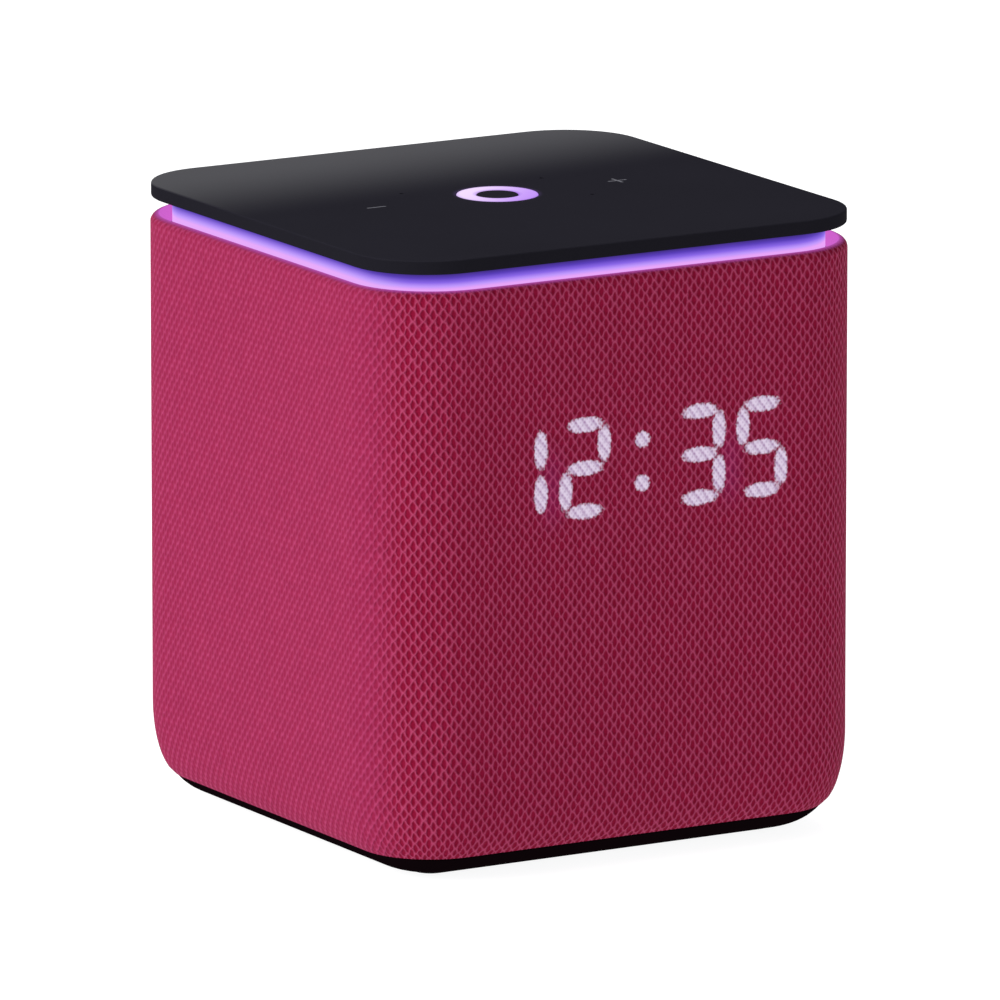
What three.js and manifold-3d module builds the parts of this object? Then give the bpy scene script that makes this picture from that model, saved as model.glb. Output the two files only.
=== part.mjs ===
// A cube-shaped smart speaker: cloth-covered body, touch top, clock display, woofer, tweeters and
// passive radiator.
// Millimetres, +Z up, the front with the clock faces -Y, origin at the centre of the footprint on the table.
import * as THREE from 'three';
import { mergeVertices } from 'three/addons/utils/BufferGeometryUtils.js';
import Module from 'manifold-3d';

const wasm = await Module();
wasm.setup();

// ---- Driving dimensions ----

const bodyWidth = 131;
const bodyDepth = 131;
const bodyHeight = 148;
const bodyCornerRadius = 22;
const gap = 0.3; // between pieces that touch
const slack = 0.5; // between pieces that only pass each other
const bury = 0.5; // how far a joined feature runs into its piece

const coverThickness = 3.3;
const coverInset = 0.95;
const coverCornerRadius = 19;
const coverEdgeRound = 0.4;
const bandHeight = 4.1; // open groove between cloth and cover
const bandInset = 5.2; // light guide's outer wall, in from the body outline

const clothThickness = 1.2;
const clothShoulderRadius = 2;
const clothFall = 2.6; // drop of the cloth's top from its lip to the light guide
const clothFootHeight = 6.4; // lower edge of the cloth above the table
const clothFootInset = 6.3; // how far the foot curve draws in at its end
const clothFootRise = 18;
const clothFootFlat = 0.4; // the curve's lowest point, below the cloth's edge

const shellWall = 2.2;
const soundSlotWidth = 3;
const soundSlotPitch = 7;
const footHeight = 1.5; // rubber pad
const footInset = 17.5;
const footRecess = 1;
const baseEdgeHeight = 0.8; // underside of the base above the table
const baseTopInset = 5.7;
const baseBottomInset = 15.7;
const baseEdgeBulge = 3.3; // pull of the curve's control point

const windowRadius = 9.6;
const windowCapRadius = 5.25;
const windowFlange = 2;
const microphoneX = 19; // microphone holes from the centre
const microphoneY = 11.7;
const microphoneHole = 0.6; // radius
const microphoneBody = [3.5, 2.7, 1.6];
const touchProcessor = [9, 9, 1.6];

const guideWall = 2.4;
const guideHeight = 11.4;
const frameWall = 2.2;
const frameFloor = 2.3;
const frameOpeningWidth = 52;
const frameOpeningDepth = 56;
const frameOpeningCorner = 8;
const pillarRadius = 2.5;
const pillarX = 34;
const pillarY = 44;
const stripBoard = 1.3;
const boardThickness = 1.6;
const touchBoardDrop = 3.6; // cover's underside to the board's top
const touchBoardSpace = 3.1; // round the board, inside the top frame

const displayWidth = 88;
const displayTall = 33;
const displayBoardMargin = 1;
const diffuserThickness = 1;
const maskThickness = 5;
const digitTall = 20.4; // middle of top segment to middle of bottom segment
const digitWide = 10.3; // middle of left segment to middle of right segment
const digitPitch = 16.6;
const digitFirst = 15.7; // inner digits' centres from the middle
const segmentWide = 3.3;
const segmentAcross = 8.4;
const segmentUp = 7.6;
const colonWide = 3.8;

const enclosureWall = 3;
const enclosureFloor = 11; // underside above the table
const enclosureCorner = 12;
const enclosureFrontDepth = 22; // baffle's face to the seal's middle
const enclosureSideSpace = 8.8;
const enclosureRearSpace = 15.8;
const displayBackSpace = 1.3;
const sealThickness = 1;
const padThickness = 14;
const padDepth = 30;
const bossRadius = 4;
const bossHeight = 11;
const postRadius = 3.5;
const postFrontSpace = 8; // seal's middle to the front posts
const postRearSpace = 11; // enclosure's back to the rear posts
const baseScrewFrontSpace = 12;
const baseScrewRearSpace = 14;
const baseScrewSideSpace = 3; // boss to the enclosure's inner wall

const wooferRadius = 33;
const wooferFlange = 2.2;
const wooferFlangeWidth = 4.5;
const wooferDepth = 18; // back of the flange to the pole plate
const wooferSurroundWidth = 6.4;
const wooferTravel = 3.5; // each way
const spiderRise = 5.4; // pole plate to the spider
const spiderSkin = 0.6;
const spiderWave = 0.7;
const gasketThickness = 1;
const coilRadius = 10.3;
const coilWall = 0.5;
const coilClearance = 0.5;
const magnetWidth = 11.7; // coil to the magnet's rim
const magnetThickness = 8;
const polePlateThickness = 3;
const yokeThickness = 4;

const tweeterRadius = 12;
const tweeterDepth = 13;
const tweeterDome = 7;
const tweeterWall = 1.5;
const tweeterY = -10;

const radiatorRadius = 30;
const radiatorRim = 4.4;
const radiatorPlate = 20;
const radiatorFrame = 2.4;

const boardWidth = 72;
const boardSpace = 7; // under the main board
const boardEndSpace = 9; // main board's front edge behind the baffle's face
const boardDepth = 86;
const ribbonX = 20;
const ribbonWidth = 12;
const ribbonThickness = 0.4;
const ribbonSpace = 1.4; // ribbon's bend behind the display board
const ribbonLead = 4.5; // straight run out of the main board
const ribbonDrop = 2.6; // from that run to the bend
const ribbonTail = 5; // end of the ribbon below the display board's top edge
const antennaWidth = 38;
const antennaTall = 9;
const antennaThickness = 0.8;
const antennaRise = 18; // enclosure's top to the antenna's middle
const leadRadius = 1.4;

const rearHeight = 31; // middle of the rear panel above the table
const rearWidth = 46;
const rearTall = 17;
const rearCorner = 4;
const rearPanelThickness = 3.3;
const rearFlange = 3;
const rearFlangeWidth = 3;
const inletX = -10;
const inletBore = 3.15;
const inletPin = 1;
const inletDepth = 9;
const inletSteps = 12; // facets in a full turn of the bore
const inletBodyWidth = 10;
const inletBodyTall = 11;
const plugHole = 5;
const muteX = 10;
const muteTravel = 2;
const muteKnob = 3.4;
const muteSwitchDepth = 5;
const muteSwitchWidth = 11;
const muteSwitchTall = 6;
const muteCarrierWidth = 7;
const muteCarrierTall = 5;

const screwShank = 1.5;
const screwHead = 3;
const screwHeadHeight = 2;
const topScrewLength = 9;
const baseScrewLength = 13;
const wooferScrewLength = 8;
const wooferScrewHead = 2.1;

const roundSteps = 5; // facets in a quarter turn of a corner
const turnSteps = 18; // facets in a full turn
const smallSteps = 10; // facets in a full turn of a screw or post

// ---- Heights and planes that follow ----

const coverUnderside = bodyHeight - coverThickness;
const clothTop = coverUnderside - bandHeight;
const shellInset = clothThickness + gap;
const shellTop = clothTop - clothThickness - gap;
const shellInside = shellInset + shellWall;
const frontInside = -(bodyDepth / 2 - shellInside);
const rearInside = bodyDepth / 2 - shellInside;
const sideInside = bodyWidth / 2 - shellInside;

const guideBottom = coverUnderside - gap - guideHeight;
const stripBottom = guideBottom - gap - stripBoard;
const flangeTop = stripBottom - gap;
const flangeBottom = flangeTop - frameFloor;
const frameOuterInset = bandInset + guideWall + 2 * gap;
const frameInnerInset = frameOuterInset + frameWall;
const touchBoardTop = coverUnderside - touchBoardDrop;

const tweeterHeight = flangeBottom - tweeterRadius - slack - gap;
const enclosureTop = tweeterHeight - tweeterRadius - 2 * slack;
const wooferHeight = enclosureFloor + wooferRadius + slack;
const wooferCutout = wooferRadius - wooferFlangeWidth;
const displayHeight = wooferHeight + wooferRadius + slack + displayBoardMargin + displayTall / 2;

const diffuserFace = frontInside + gap;
const maskFace = diffuserFace + diffuserThickness + gap;
const displayBoardFace = maskFace + maskThickness + gap;
const displayBack = displayBoardFace + boardThickness;
const enclosureWidth = 2 * (sideInside - enclosureSideSpace);
const enclosureFront = displayBack + displayBackSpace;
const enclosureBack = rearInside - enclosureRearSpace;
const enclosureSplit = enclosureFront + enclosureFrontDepth;
const radiatorHeight = enclosureTop - radiatorRadius - 4 * slack;
const boardHeight = enclosureTop + boardSpace;
const boardMiddle = enclosureFront + boardEndSpace + boardDepth / 2;
const topScrewX = boardWidth / 2 + postRadius + 5 * slack;
const baseScrewX = enclosureWidth / 2 - enclosureWall - bossRadius - baseScrewSideSpace;

// ---- Materials ----

function finish(color, roughness, metalness = 0) {
  return new THREE.MeshStandardMaterial({ color, roughness, metalness });
}

const satinBlack = finish('#26262b', 0.35);
const darkPlastic = finish('#1c1c1f', 0.6);
const clothRed = finish('#8f2049', 0.9);
const lightPlastic = finish('#e9dcf5', 0.4);
const rubber = finish('#161616', 0.85);
const steel = finish('#a5a8ac', 0.35, 1);
const magnetGrey = finish('#3c3c3f', 0.55, 0.4);
const boardGreen = finish('#12402b', 0.5);
const conePaper = finish('#2a2a2c', 0.9);
const softRubber = finish('#1d1d1e', 0.7);
const copper = finish('#b36b3a', 0.35, 1);
const foam = finish('#55575c', 1);
const aluminium = finish('#b9bcc0', 0.35, 1);
const silk = finish('#3a3a40', 0.6);
const amberCloth = finish('#b58a3c', 0.8);

// ---- Shape helpers ----

const speaker = new THREE.Group();

function place(name, geometry, material) {
  const mesh = new THREE.Mesh(geometry, material);
  mesh.name = name;
  speaker.add(mesh);
  return mesh;
}

function toManifold(geometry) {
  const bare = geometry.clone();
  bare.deleteAttribute('normal');
  bare.deleteAttribute('uv');
  const merged = mergeVertices(bare, 1e-4);
  const vertProperties = new Float32Array(merged.attributes.position.array);
  const triVerts = new Uint32Array(merged.index.array);
  return new wasm.Manifold(new wasm.Mesh({ numProp: 3, vertProperties, triVerts }));
}

function fromManifold(solid) {
  const { vertProperties, triVerts } = solid.getMesh();
  const geometry = new THREE.BufferGeometry();
  geometry.setAttribute('position', new THREE.BufferAttribute(vertProperties, 3));
  geometry.setIndex(new THREE.BufferAttribute(triVerts, 1));
  return geometry;
}

function cut(geometry, ...tools) {
  return fromManifold(tools.reduce((solid, tool) => solid.subtract(toManifold(tool)), toManifold(geometry)));
}

function join(geometry, ...others) {
  return fromManifold(others.reduce((solid, other) => solid.add(toManifold(other)), toManifold(geometry)));
}

// A rounded rectangle as a list of points, counter-clockwise, with the same number of points at any size.
function roundedOutline(width, depth, radius) {
  const corners = [[1, -1, -90], [1, 1, 0], [-1, 1, 90], [-1, -1, 180]];
  const points = [];
  for (const [sideX, sideY, start] of corners) {
    for (let step = 0; step <= roundSteps; step += 1) {
      const angle = THREE.MathUtils.degToRad(start + (90 * step) / roundSteps);
      const x = sideX * (width / 2 - radius) + radius * Math.cos(angle);
      const y = sideY * (depth / 2 - radius) + radius * Math.sin(angle);
      points.push(new THREE.Vector2(x, y));
    }
  }
  return points;
}

function roundedShape(width, depth, radius) {
  return new THREE.Shape(roundedOutline(width, depth, radius));
}

function fourCorners(x, y) {
  return [[-x, -y], [x, -y], [-x, y], [x, y]];
}

// A flat plate from z0 to z1 with a rounded-rectangle outline, and an optional opening of the same kind.
function plate(width, depth, radius, z0, z1, opening) {
  const shape = roundedShape(width, depth, radius);
  if (opening) {
    shape.holes.push(new THREE.Path(roundedOutline(...opening).reverse()));
  }
  const geometry = new THREE.ExtrudeGeometry(shape, { depth: z1 - z0, bevelEnabled: false });
  return geometry.translate(0, 0, z0);
}

function block(width, depth, height, x, y, z) {
  return new THREE.BoxGeometry(width, depth, height).translate(x, y, z);
}

function rod(radius, height, x, y, z0, sides = turnSteps) {
  const geometry = new THREE.CylinderGeometry(radius, radius, height, sides).rotateX(Math.PI / 2);
  return geometry.translate(x, y, z0 + height / 2);
}

// A profile of [inset, z] points swept round the body's plan. It closes on itself, as a wall does,
// or with capped it is filled in across its first and last points.
function sweptWall(profile, capped = false) {
  const rings = profile.map(([inset, z]) => {
    const radius = Math.max(bodyCornerRadius - inset, 1);
    const outline = roundedOutline(bodyWidth - 2 * inset, bodyDepth - 2 * inset, radius);
    return outline.map((point) => [point.x, point.y, z]);
  });
  const count = rings[0].length;
  const faces = [];
  const links = capped ? rings.length - 1 : rings.length;
  for (let ring = 0; ring < links; ring += 1) {
    const here = ring * count;
    const next = ((ring + 1) % rings.length) * count;
    for (let i = 0; i < count; i += 1) {
      const j = (i + 1) % count;
      faces.push(here + i, here + j, next + j, here + i, next + j, next + i);
    }
  }
  if (capped) {
    const last = (rings.length - 1) * count;
    for (let i = 1; i < count - 1; i += 1) {
      faces.push(0, i + 1, i, last, last + i, last + i + 1);
    }
  }
  const geometry = new THREE.BufferGeometry();
  geometry.setAttribute('position', new THREE.Float32BufferAttribute(rings.flat(2), 3));
  geometry.setIndex(faces);
  return geometry;
}

// A [radius, z] profile that starts and ends on the axis, turned about Z.
function turned(profile, steps = turnSteps) {
  const points = profile.map(([radius, z]) => new THREE.Vector2(radius, z));
  if (THREE.ShapeUtils.isClockWise(points)) {
    points.reverse();
  }
  return new THREE.LatheGeometry(points, steps).rotateX(Math.PI / 2);
}

// The same for a profile that closes on itself.
function turnedRing(profile, steps) {
  return turned([...profile, profile[0]], steps);
}

function ring(outer, inner, z0, z1, steps) {
  return turnedRing([[inner, z0], [outer, z0], [outer, z1], [inner, z1]], steps);
}

// Turns a piece made along +Z so that it points along the given direction from an origin.
function aim(geometry, direction, origin) {
  const turn = new THREE.Quaternion().setFromUnitVectors(new THREE.Vector3(0, 0, 1), direction);
  return geometry.applyQuaternion(turn).translate(origin.x, origin.y, origin.z);
}

function strip(points, width, thickness, steps) {
  const path = new THREE.CatmullRomCurve3(points.map(([x, y, z]) => new THREE.Vector3(x, y, z)));
  const section = new THREE.Shape([
    new THREE.Vector2(-width / 2, -thickness / 2),
    new THREE.Vector2(width / 2, -thickness / 2),
    new THREE.Vector2(width / 2, thickness / 2),
    new THREE.Vector2(-width / 2, thickness / 2),
  ]);
  return new THREE.ExtrudeGeometry(section, { steps, extrudePath: path, bevelEnabled: false });
}

const forward = new THREE.Vector3(0, -1, 0);
const backward = new THREE.Vector3(0, 1, 0);

// ---- Top ----

// Three microphones round the ring, with none at the front left.
function microphonePlaces() {
  return [[-microphoneX, microphoneY], [microphoneX, microphoneY], [microphoneX, -microphoneY]];
}

function topCover() {
  const width = bodyWidth - 2 * coverInset;
  const depth = bodyDepth - 2 * coverInset;
  const round = coverEdgeRound;
  const blank = new THREE.ExtrudeGeometry(
    roundedShape(width - 2 * round, depth - 2 * round, coverCornerRadius - round),
    { depth: coverThickness - 2 * round, bevelSize: round, bevelThickness: round, bevelSegments: 2 },
  ).translate(0, 0, coverUnderside + round);
  const through = coverThickness + 2;
  const holes = microphonePlaces().map(([x, y]) => rod(microphoneHole, through, x, y, coverUnderside - 1, 8));
  const windowHole = rod(windowRadius + 2 * gap, through, 0, 0, coverUnderside - 1);
  return cut(blank, windowHole, ...holes);
}

function ringWindow() {
  const foot = touchBoardTop + gap;
  const flangeLevel = coverUnderside - gap;
  const seat = bodyHeight - coverThickness / 2;
  return turned([
    [0, foot],
    [windowRadius + windowFlange, foot],
    [windowRadius + windowFlange, flangeLevel],
    [windowRadius, flangeLevel],
    [windowRadius, bodyHeight],
    [windowCapRadius, bodyHeight],
    [windowCapRadius, seat],
    [0, seat],
  ]);
}

function windowCap() {
  const seat = bodyHeight - coverThickness / 2 + gap;
  return rod(windowCapRadius - gap, bodyHeight - seat, 0, 0, seat);
}

function lightGuide() {
  const top = coverUnderside - gap;
  return sweptWall([
    [bandInset, guideBottom],
    [bandInset, top],
    [bandInset + guideWall, top],
    [bandInset + guideWall, guideBottom],
  ]);
}

function bandLightBoard() {
  const inner = bandInset + guideWall;
  return sweptWall([
    [bandInset, stripBottom],
    [bandInset, stripBottom + stripBoard],
    [inner, stripBottom + stripBoard],
    [inner, stripBottom],
  ]);
}

function topFrame() {
  const top = coverUnderside - gap;
  const edge = shellInside + 2 * gap;
  const inner = frameInnerInset;
  const wall = sweptWall([
    [edge, flangeBottom],
    [edge, flangeTop],
    [frameOuterInset, flangeTop],
    [frameOuterInset, top],
    [inner, top],
    [inner, flangeBottom],
  ]);
  const floorWidth = bodyWidth - 2 * inner + 2 * bury;
  const floorDepth = bodyDepth - 2 * inner + 2 * bury;
  const floorCorner = bodyCornerRadius - inner;
  const opening = [frameOpeningWidth, frameOpeningDepth, frameOpeningCorner];
  const floor = plate(floorWidth, floorDepth, floorCorner, flangeBottom, flangeTop, opening);
  const pillarTop = touchBoardTop - boardThickness - gap;
  const pillars = fourCorners(pillarX, pillarY).map(([x, y]) =>
    rod(pillarRadius, pillarTop - flangeTop + bury, x, y, flangeTop - bury, smallSteps));
  const holes = topScrewPlaces().map(([x, y]) => screwHole(x, y, flangeBottom - 1, flangeTop + 1));
  return cut(join(wall, floor, ...pillars), ...holes);
}

function touchBoard() {
  const inset = frameInnerInset + touchBoardSpace;
  const bottom = touchBoardTop - boardThickness;
  const microphones = microphonePlaces().map(([x, y]) =>
    block(...microphoneBody, x, y, touchBoardTop + gap));
  const processor = block(...touchProcessor, 0, 0, bottom - gap);
  const corner = bodyCornerRadius - inset;
  const board = plate(bodyWidth - 2 * inset, bodyDepth - 2 * inset, corner, bottom, touchBoardTop);
  return join(board, processor, ...microphones);
}

function topScrewPlaces() {
  const front = enclosureSplit + postFrontSpace;
  const rear = enclosureBack - postRearSpace;
  return [[-topScrewX, front], [topScrewX, front], [-topScrewX, rear], [topScrewX, rear]];
}

// ---- Fasteners ----

function screw(length, head = screwHead) {
  return turned([
    [0, 0],
    [head, 0],
    [head, screwHeadHeight],
    [screwShank, screwHeadHeight],
    [screwShank, screwHeadHeight + length],
    [0, screwHeadHeight + length],
  ], smallSteps);
}

function screwHole(x, y, z0, z1) {
  return rod(screwShank + gap, z1 - z0, x, y, z0, smallSteps);
}

// ---- Casing ----

// The foot curve: a quarter ellipse that starts upright and draws in towards the table.
function footCurve(offset, lowest, steps) {
  const centre = clothFootHeight - clothFootFlat + clothFootRise;
  const sweep = Math.asin((centre - lowest) / clothFootRise);
  const points = [];
  for (let step = 0; step <= steps; step += 1) {
    const angle = sweep * (1 - step / steps);
    points.push([offset + clothFootInset * (1 - Math.cos(angle)), centre - clothFootRise * Math.sin(angle)]);
  }
  return points;
}

function shoulderCurve(offset, top, radius, steps) {
  const points = [];
  for (let step = 0; step <= steps; step += 1) {
    const angle = (Math.PI / 2) * (step / steps);
    points.push([offset + radius * (1 - Math.cos(angle)), top - radius + radius * Math.sin(angle)]);
  }
  return points;
}

// Height at an inset on the slope that falls from the lip to the light guide, below a top.
function slopeHeight(inset, top) {
  return top - (clothFall * (inset - clothShoulderRadius)) / (bandInset - clothShoulderRadius);
}

function fabricSleeve() {
  const lip = bandInset - 2 * gap;
  const innerTop = clothTop - clothThickness;
  const outside = [
    ...footCurve(0, clothFootHeight, 5),
    ...shoulderCurve(0, clothTop, clothShoulderRadius, 4),
    [lip, slopeHeight(lip, clothTop)],
  ];
  const inside = [
    ...footCurve(clothThickness, clothFootHeight, 4),
    ...shoulderCurve(clothThickness, innerTop, clothShoulderRadius - clothThickness, 2),
    [lip, slopeHeight(lip, innerTop)],
  ];
  const opening = rearOpening(gap, 10 * clothThickness, bodyDepth / 2);
  return cut(sweptWall([...outside, ...inside.reverse()]), opening);
}

function rearOpening(margin, length, y) {
  const shape = roundedShape(rearWidth + 2 * margin, rearTall + 2 * margin, rearCorner + margin);
  const geometry = new THREE.ExtrudeGeometry(shape, { depth: length, bevelEnabled: false });
  return geometry.translate(0, 0, -length / 2).rotateX(-Math.PI / 2).translate(0, y, rearHeight);
}

// Upright slots that fill a circle on one wall, for sound to pass.
function grille(radius, height, place) {
  const slots = [];
  const reach = Math.floor((radius - soundSlotWidth / 2) / soundSlotPitch);
  for (let i = -reach; i <= reach; i += 1) {
    const offset = i * soundSlotPitch;
    const tall = 2 * Math.sqrt(radius ** 2 - offset ** 2);
    slots.push(place(soundSlotWidth, tall, offset).translate(0, 0, height));
  }
  return slots;
}

function outerShell() {
  const bottom = clothFootHeight + slack;
  const lip = bandInset - gap;
  const outside = [
    ...footCurve(shellInset, bottom, 4),
    ...shoulderCurve(shellInset, shellTop, clothShoulderRadius - shellInset, 2),
    [lip, slopeHeight(lip, shellTop)],
  ];
  const inside = [
    ...footCurve(shellInside, bottom, 4),
    [shellInside, slopeHeight(shellInside, shellTop - shellWall)],
    [lip, slopeHeight(lip, shellTop - shellWall)],
  ];
  const wall = 4 * shellWall;
  const frontY = -(bodyDepth / 2 - shellInset);
  const alongY = (y) => (width, tall, x) => block(width, wall, tall, x, y, 0);
  const alongX = (x) => (width, tall, y) => block(wall, width, tall, x, y + tweeterY, 0);
  return cut(
    sweptWall([...outside, ...inside.reverse()]),
    block(displayWidth - 4, wall, displayTall - 4, 0, frontY, displayHeight),
    ...grille(wooferCutout, wooferHeight, alongY(frontY)),
    ...grille(radiatorRadius - radiatorRim, radiatorHeight, alongY(-frontY)),
    ...grille(tweeterDome + 2, tweeterHeight, alongX(-sideInside)),
    ...grille(tweeterDome + 2, tweeterHeight, alongX(sideInside)),
    rearOpening(gap, wall, rearInside),
  );
}

function baseScrewPlaces() {
  const front = enclosureSplit + baseScrewFrontSpace;
  const rear = enclosureBack - baseScrewRearSpace;
  return [[-baseScrewX, front], [baseScrewX, front], [-baseScrewX, rear], [baseScrewX, rear]];
}

function basePlate() {
  const edge = new THREE.QuadraticBezierCurve(
    new THREE.Vector2(baseTopInset, clothFootHeight - gap),
    new THREE.Vector2(baseTopInset + baseEdgeBulge, baseEdgeHeight + baseEdgeBulge / 3),
    new THREE.Vector2(baseBottomInset, baseEdgeHeight),
  );
  const outside = edge.getPoints(6).map((point) => [point.x, point.y]);
  const spigotInset = shellInside + clothFootInset;
  const spigotTop = enclosureFloor - gap;
  const body = sweptWall([
    ...outside.reverse(),
    [spigotInset, clothFootHeight - gap],
    [spigotInset, spigotTop],
  ], true);
  const recess = plate(
    bodyWidth - 2 * footInset + 2 * gap,
    bodyDepth - 2 * footInset + 2 * gap,
    bodyCornerRadius - footInset + gap,
    baseEdgeHeight - 1,
    baseEdgeHeight + footRecess,
  );
  const headSeat = baseEdgeHeight + footRecess + screwHeadHeight + gap;
  const screwHoles = baseScrewPlaces().flatMap(([x, y]) => [
    rod(screwHead + gap, headSeat, x, y, 0, smallSteps),
    screwHole(x, y, 0, enclosureFloor),
  ]);
  return cut(body, recess, ...screwHoles);
}

function rubberFoot() {
  return plate(
    bodyWidth - 2 * footInset,
    bodyDepth - 2 * footInset,
    bodyCornerRadius - footInset,
    0,
    footHeight,
  );
}

// ---- Display ----

// Centres and sizes of the lit openings: four seven-segment digits and the colon.
function segmentOpenings() {
  const openings = [];
  const centres = [-digitFirst - digitPitch, -digitFirst, digitFirst, digitFirst + digitPitch];
  for (const x of centres) {
    for (const row of [-1, 0, 1]) {
      openings.push({ x, y: (row * digitTall) / 2, width: segmentAcross, height: segmentWide });
    }
    for (const side of [-1, 1]) {
      for (const row of [-1, 1]) {
        openings.push({
          x: x + (side * digitWide) / 2,
          y: (row * digitTall) / 4,
          width: segmentWide,
          height: segmentUp,
        });
      }
    }
  }
  for (const row of [-1, 1]) {
    openings.push({ x: 0, y: (row * digitTall) / 4, width: colonWide, height: colonWide });
  }
  return openings;
}

// A long six-sided opening with its points at the two far ends.
function segmentPath({ x, y, width, height }) {
  const half = { x: width / 2, y: height / 2 };
  const point = Math.min(half.x, half.y) * 0.8;
  const outline = width >= height
    ? [[-half.x, 0], [-half.x + point, half.y], [half.x - point, half.y],
      [half.x, 0], [half.x - point, -half.y], [-half.x + point, -half.y]]
    : [[0, half.y], [half.x, half.y - point], [half.x, point - half.y],
      [0, -half.y], [-half.x, point - half.y], [-half.x, half.y - point]];
  return new THREE.Path(outline.map(([dx, dy]) => new THREE.Vector2(x + dx, y + dy)));
}

// Stands a plate that was drawn flat upright, facing the front, with its face at the given Y.
function standing(geometry, faceY) {
  return geometry.rotateX(Math.PI / 2).translate(0, faceY, displayHeight);
}

function displayDiffuser() {
  return standing(plate(displayWidth, displayTall, 2, -diffuserThickness, 0), diffuserFace);
}

function displayMask() {
  const shape = roundedShape(displayWidth, displayTall, 2);
  shape.holes.push(...segmentOpenings().map(segmentPath));
  const geometry = new THREE.ExtrudeGeometry(shape, { depth: maskThickness, bevelEnabled: false });
  return standing(geometry.translate(0, 0, -maskThickness), maskFace);
}

function displayBoard() {
  const width = displayWidth + 2 * displayBoardMargin;
  const tall = displayTall + 2 * displayBoardMargin;
  const lamps = segmentOpenings().map(({ x, y }) => block(1.6, 1.6, 1.2, x, y, gap));
  return standing(join(plate(width, tall, 2, -boardThickness, 0), ...lamps), displayBoardFace);
}

// ---- Acoustic enclosure ----

// A tube with a rounded-rectangle section that runs along Y, from one Y to another.
function enclosureTube(fromY, toY, inset, length = toY - fromY) {
  const tall = enclosureTop - enclosureFloor;
  const corner = enclosureCorner - inset;
  const shape = roundedShape(enclosureWidth - 2 * inset, tall - 2 * inset, corner);
  const geometry = new THREE.ExtrudeGeometry(shape, { depth: length, bevelEnabled: false });
  return geometry.rotateX(Math.PI / 2).translate(0, toY, (enclosureFloor + enclosureTop) / 2);
}

function enclosureFrontHalf() {
  const end = enclosureSplit - sealThickness / 2 - gap;
  const screwHoles = wooferScrewPlaces().map(({ x, z }) => {
    const entry = new THREE.Vector3(x, enclosureFront, z);
    return aim(screwHole(0, 0, -2 * enclosureWall, enclosureWall), forward, entry);
  });
  const mouth = rod(wooferCutout, 4 * enclosureWall, 0, 0, -2 * enclosureWall);
  return cut(
    enclosureTube(enclosureFront, end, 0),
    enclosureTube(enclosureFront + enclosureWall, end + 1, enclosureWall),
    aim(mouth, forward, new THREE.Vector3(0, enclosureFront, wooferHeight)),
    ...screwHoles,
  );
}

function enclosureSeal() {
  const start = enclosureSplit - sealThickness / 2;
  const end = enclosureSplit + sealThickness / 2;
  return cut(enclosureTube(start, end, 0), enclosureTube(start - 1, end + 1, enclosureWall));
}

function enclosureBackHalf() {
  const start = enclosureSplit + sealThickness / 2 + gap;
  const hollow = cut(
    enclosureTube(start, enclosureBack, 0),
    enclosureTube(start - 1, enclosureBack - enclosureWall, enclosureWall),
  );
  const bosses = baseScrewPlaces().map(([x, y]) =>
    rod(bossRadius, bossHeight, x, y, enclosureFloor + bury, smallSteps));
  const postFoot = enclosureTop - enclosureWall / 2;
  const postTop = flangeBottom - gap;
  const posts = topScrewPlaces().map(([x, y]) =>
    rod(postRadius, postTop - postFoot, x, y, postFoot, smallSteps));
  const bossHoleTop = enclosureFloor + bossHeight - enclosureWall;
  const bossHoles = baseScrewPlaces().map(([x, y]) => screwHole(x, y, enclosureFloor - 1, bossHoleTop));
  const postHoles = topScrewPlaces().map(([x, y]) => screwHole(x, y, postTop - topScrewLength, postTop + 1));
  const mouth = rod(radiatorRadius - radiatorRim, 4 * enclosureWall, 0, 0, -2 * enclosureWall);
  const mouthCentre = new THREE.Vector3(0, enclosureBack, radiatorHeight);
  const body = join(hollow, ...bosses, ...posts);
  return cut(body, aim(mouth, backward, mouthCentre), ...bossHoles, ...postHoles);
}

function dampingPad() {
  const width = enclosureWidth - 2 * enclosureCorner;
  const top = enclosureTop - enclosureWall - gap;
  return block(width, padDepth, padThickness, 0, 0, top - padThickness / 2);
}

// ---- Woofer, drawn along +Z from the back of its flange, then aimed forward ----

const flangeBackY = enclosureFront - gasketThickness - 2 * gap;
const wooferOrigin = new THREE.Vector3(0, flangeBackY, wooferHeight);
const coneRadius = wooferCutout - wooferSurroundWidth;
const magnetRadius = coilRadius + magnetWidth;
const polePlateRadius = magnetRadius - 2;
const polePlateTop = -wooferDepth;
const magnetTop = polePlateTop - polePlateThickness - gap;
const yokeTop = magnetTop - magnetThickness - gap;
const spiderLevel = polePlateTop + spiderRise;
const neckLevel = spiderLevel + spiderSkin + spiderWave + wooferTravel + gap;

function wooferScrewPlaces() {
  const reach = (wooferRadius + wooferCutout) / 2;
  return [45, 135, 225, 315].map((degrees) => {
    const angle = THREE.MathUtils.degToRad(degrees);
    return { x: reach * Math.cos(angle), z: wooferHeight + reach * Math.sin(angle) };
  });
}

function wooferScrewHoles(z0, z1) {
  return wooferScrewPlaces().map(({ x, z }) => screwHole(x, wooferHeight - z, z0, z1));
}

function wooferGasket() {
  const z0 = -gap - gasketThickness;
  return cut(ring(wooferRadius, wooferCutout, z0, -gap), ...wooferScrewHoles(z0 - 1, 0));
}

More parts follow.
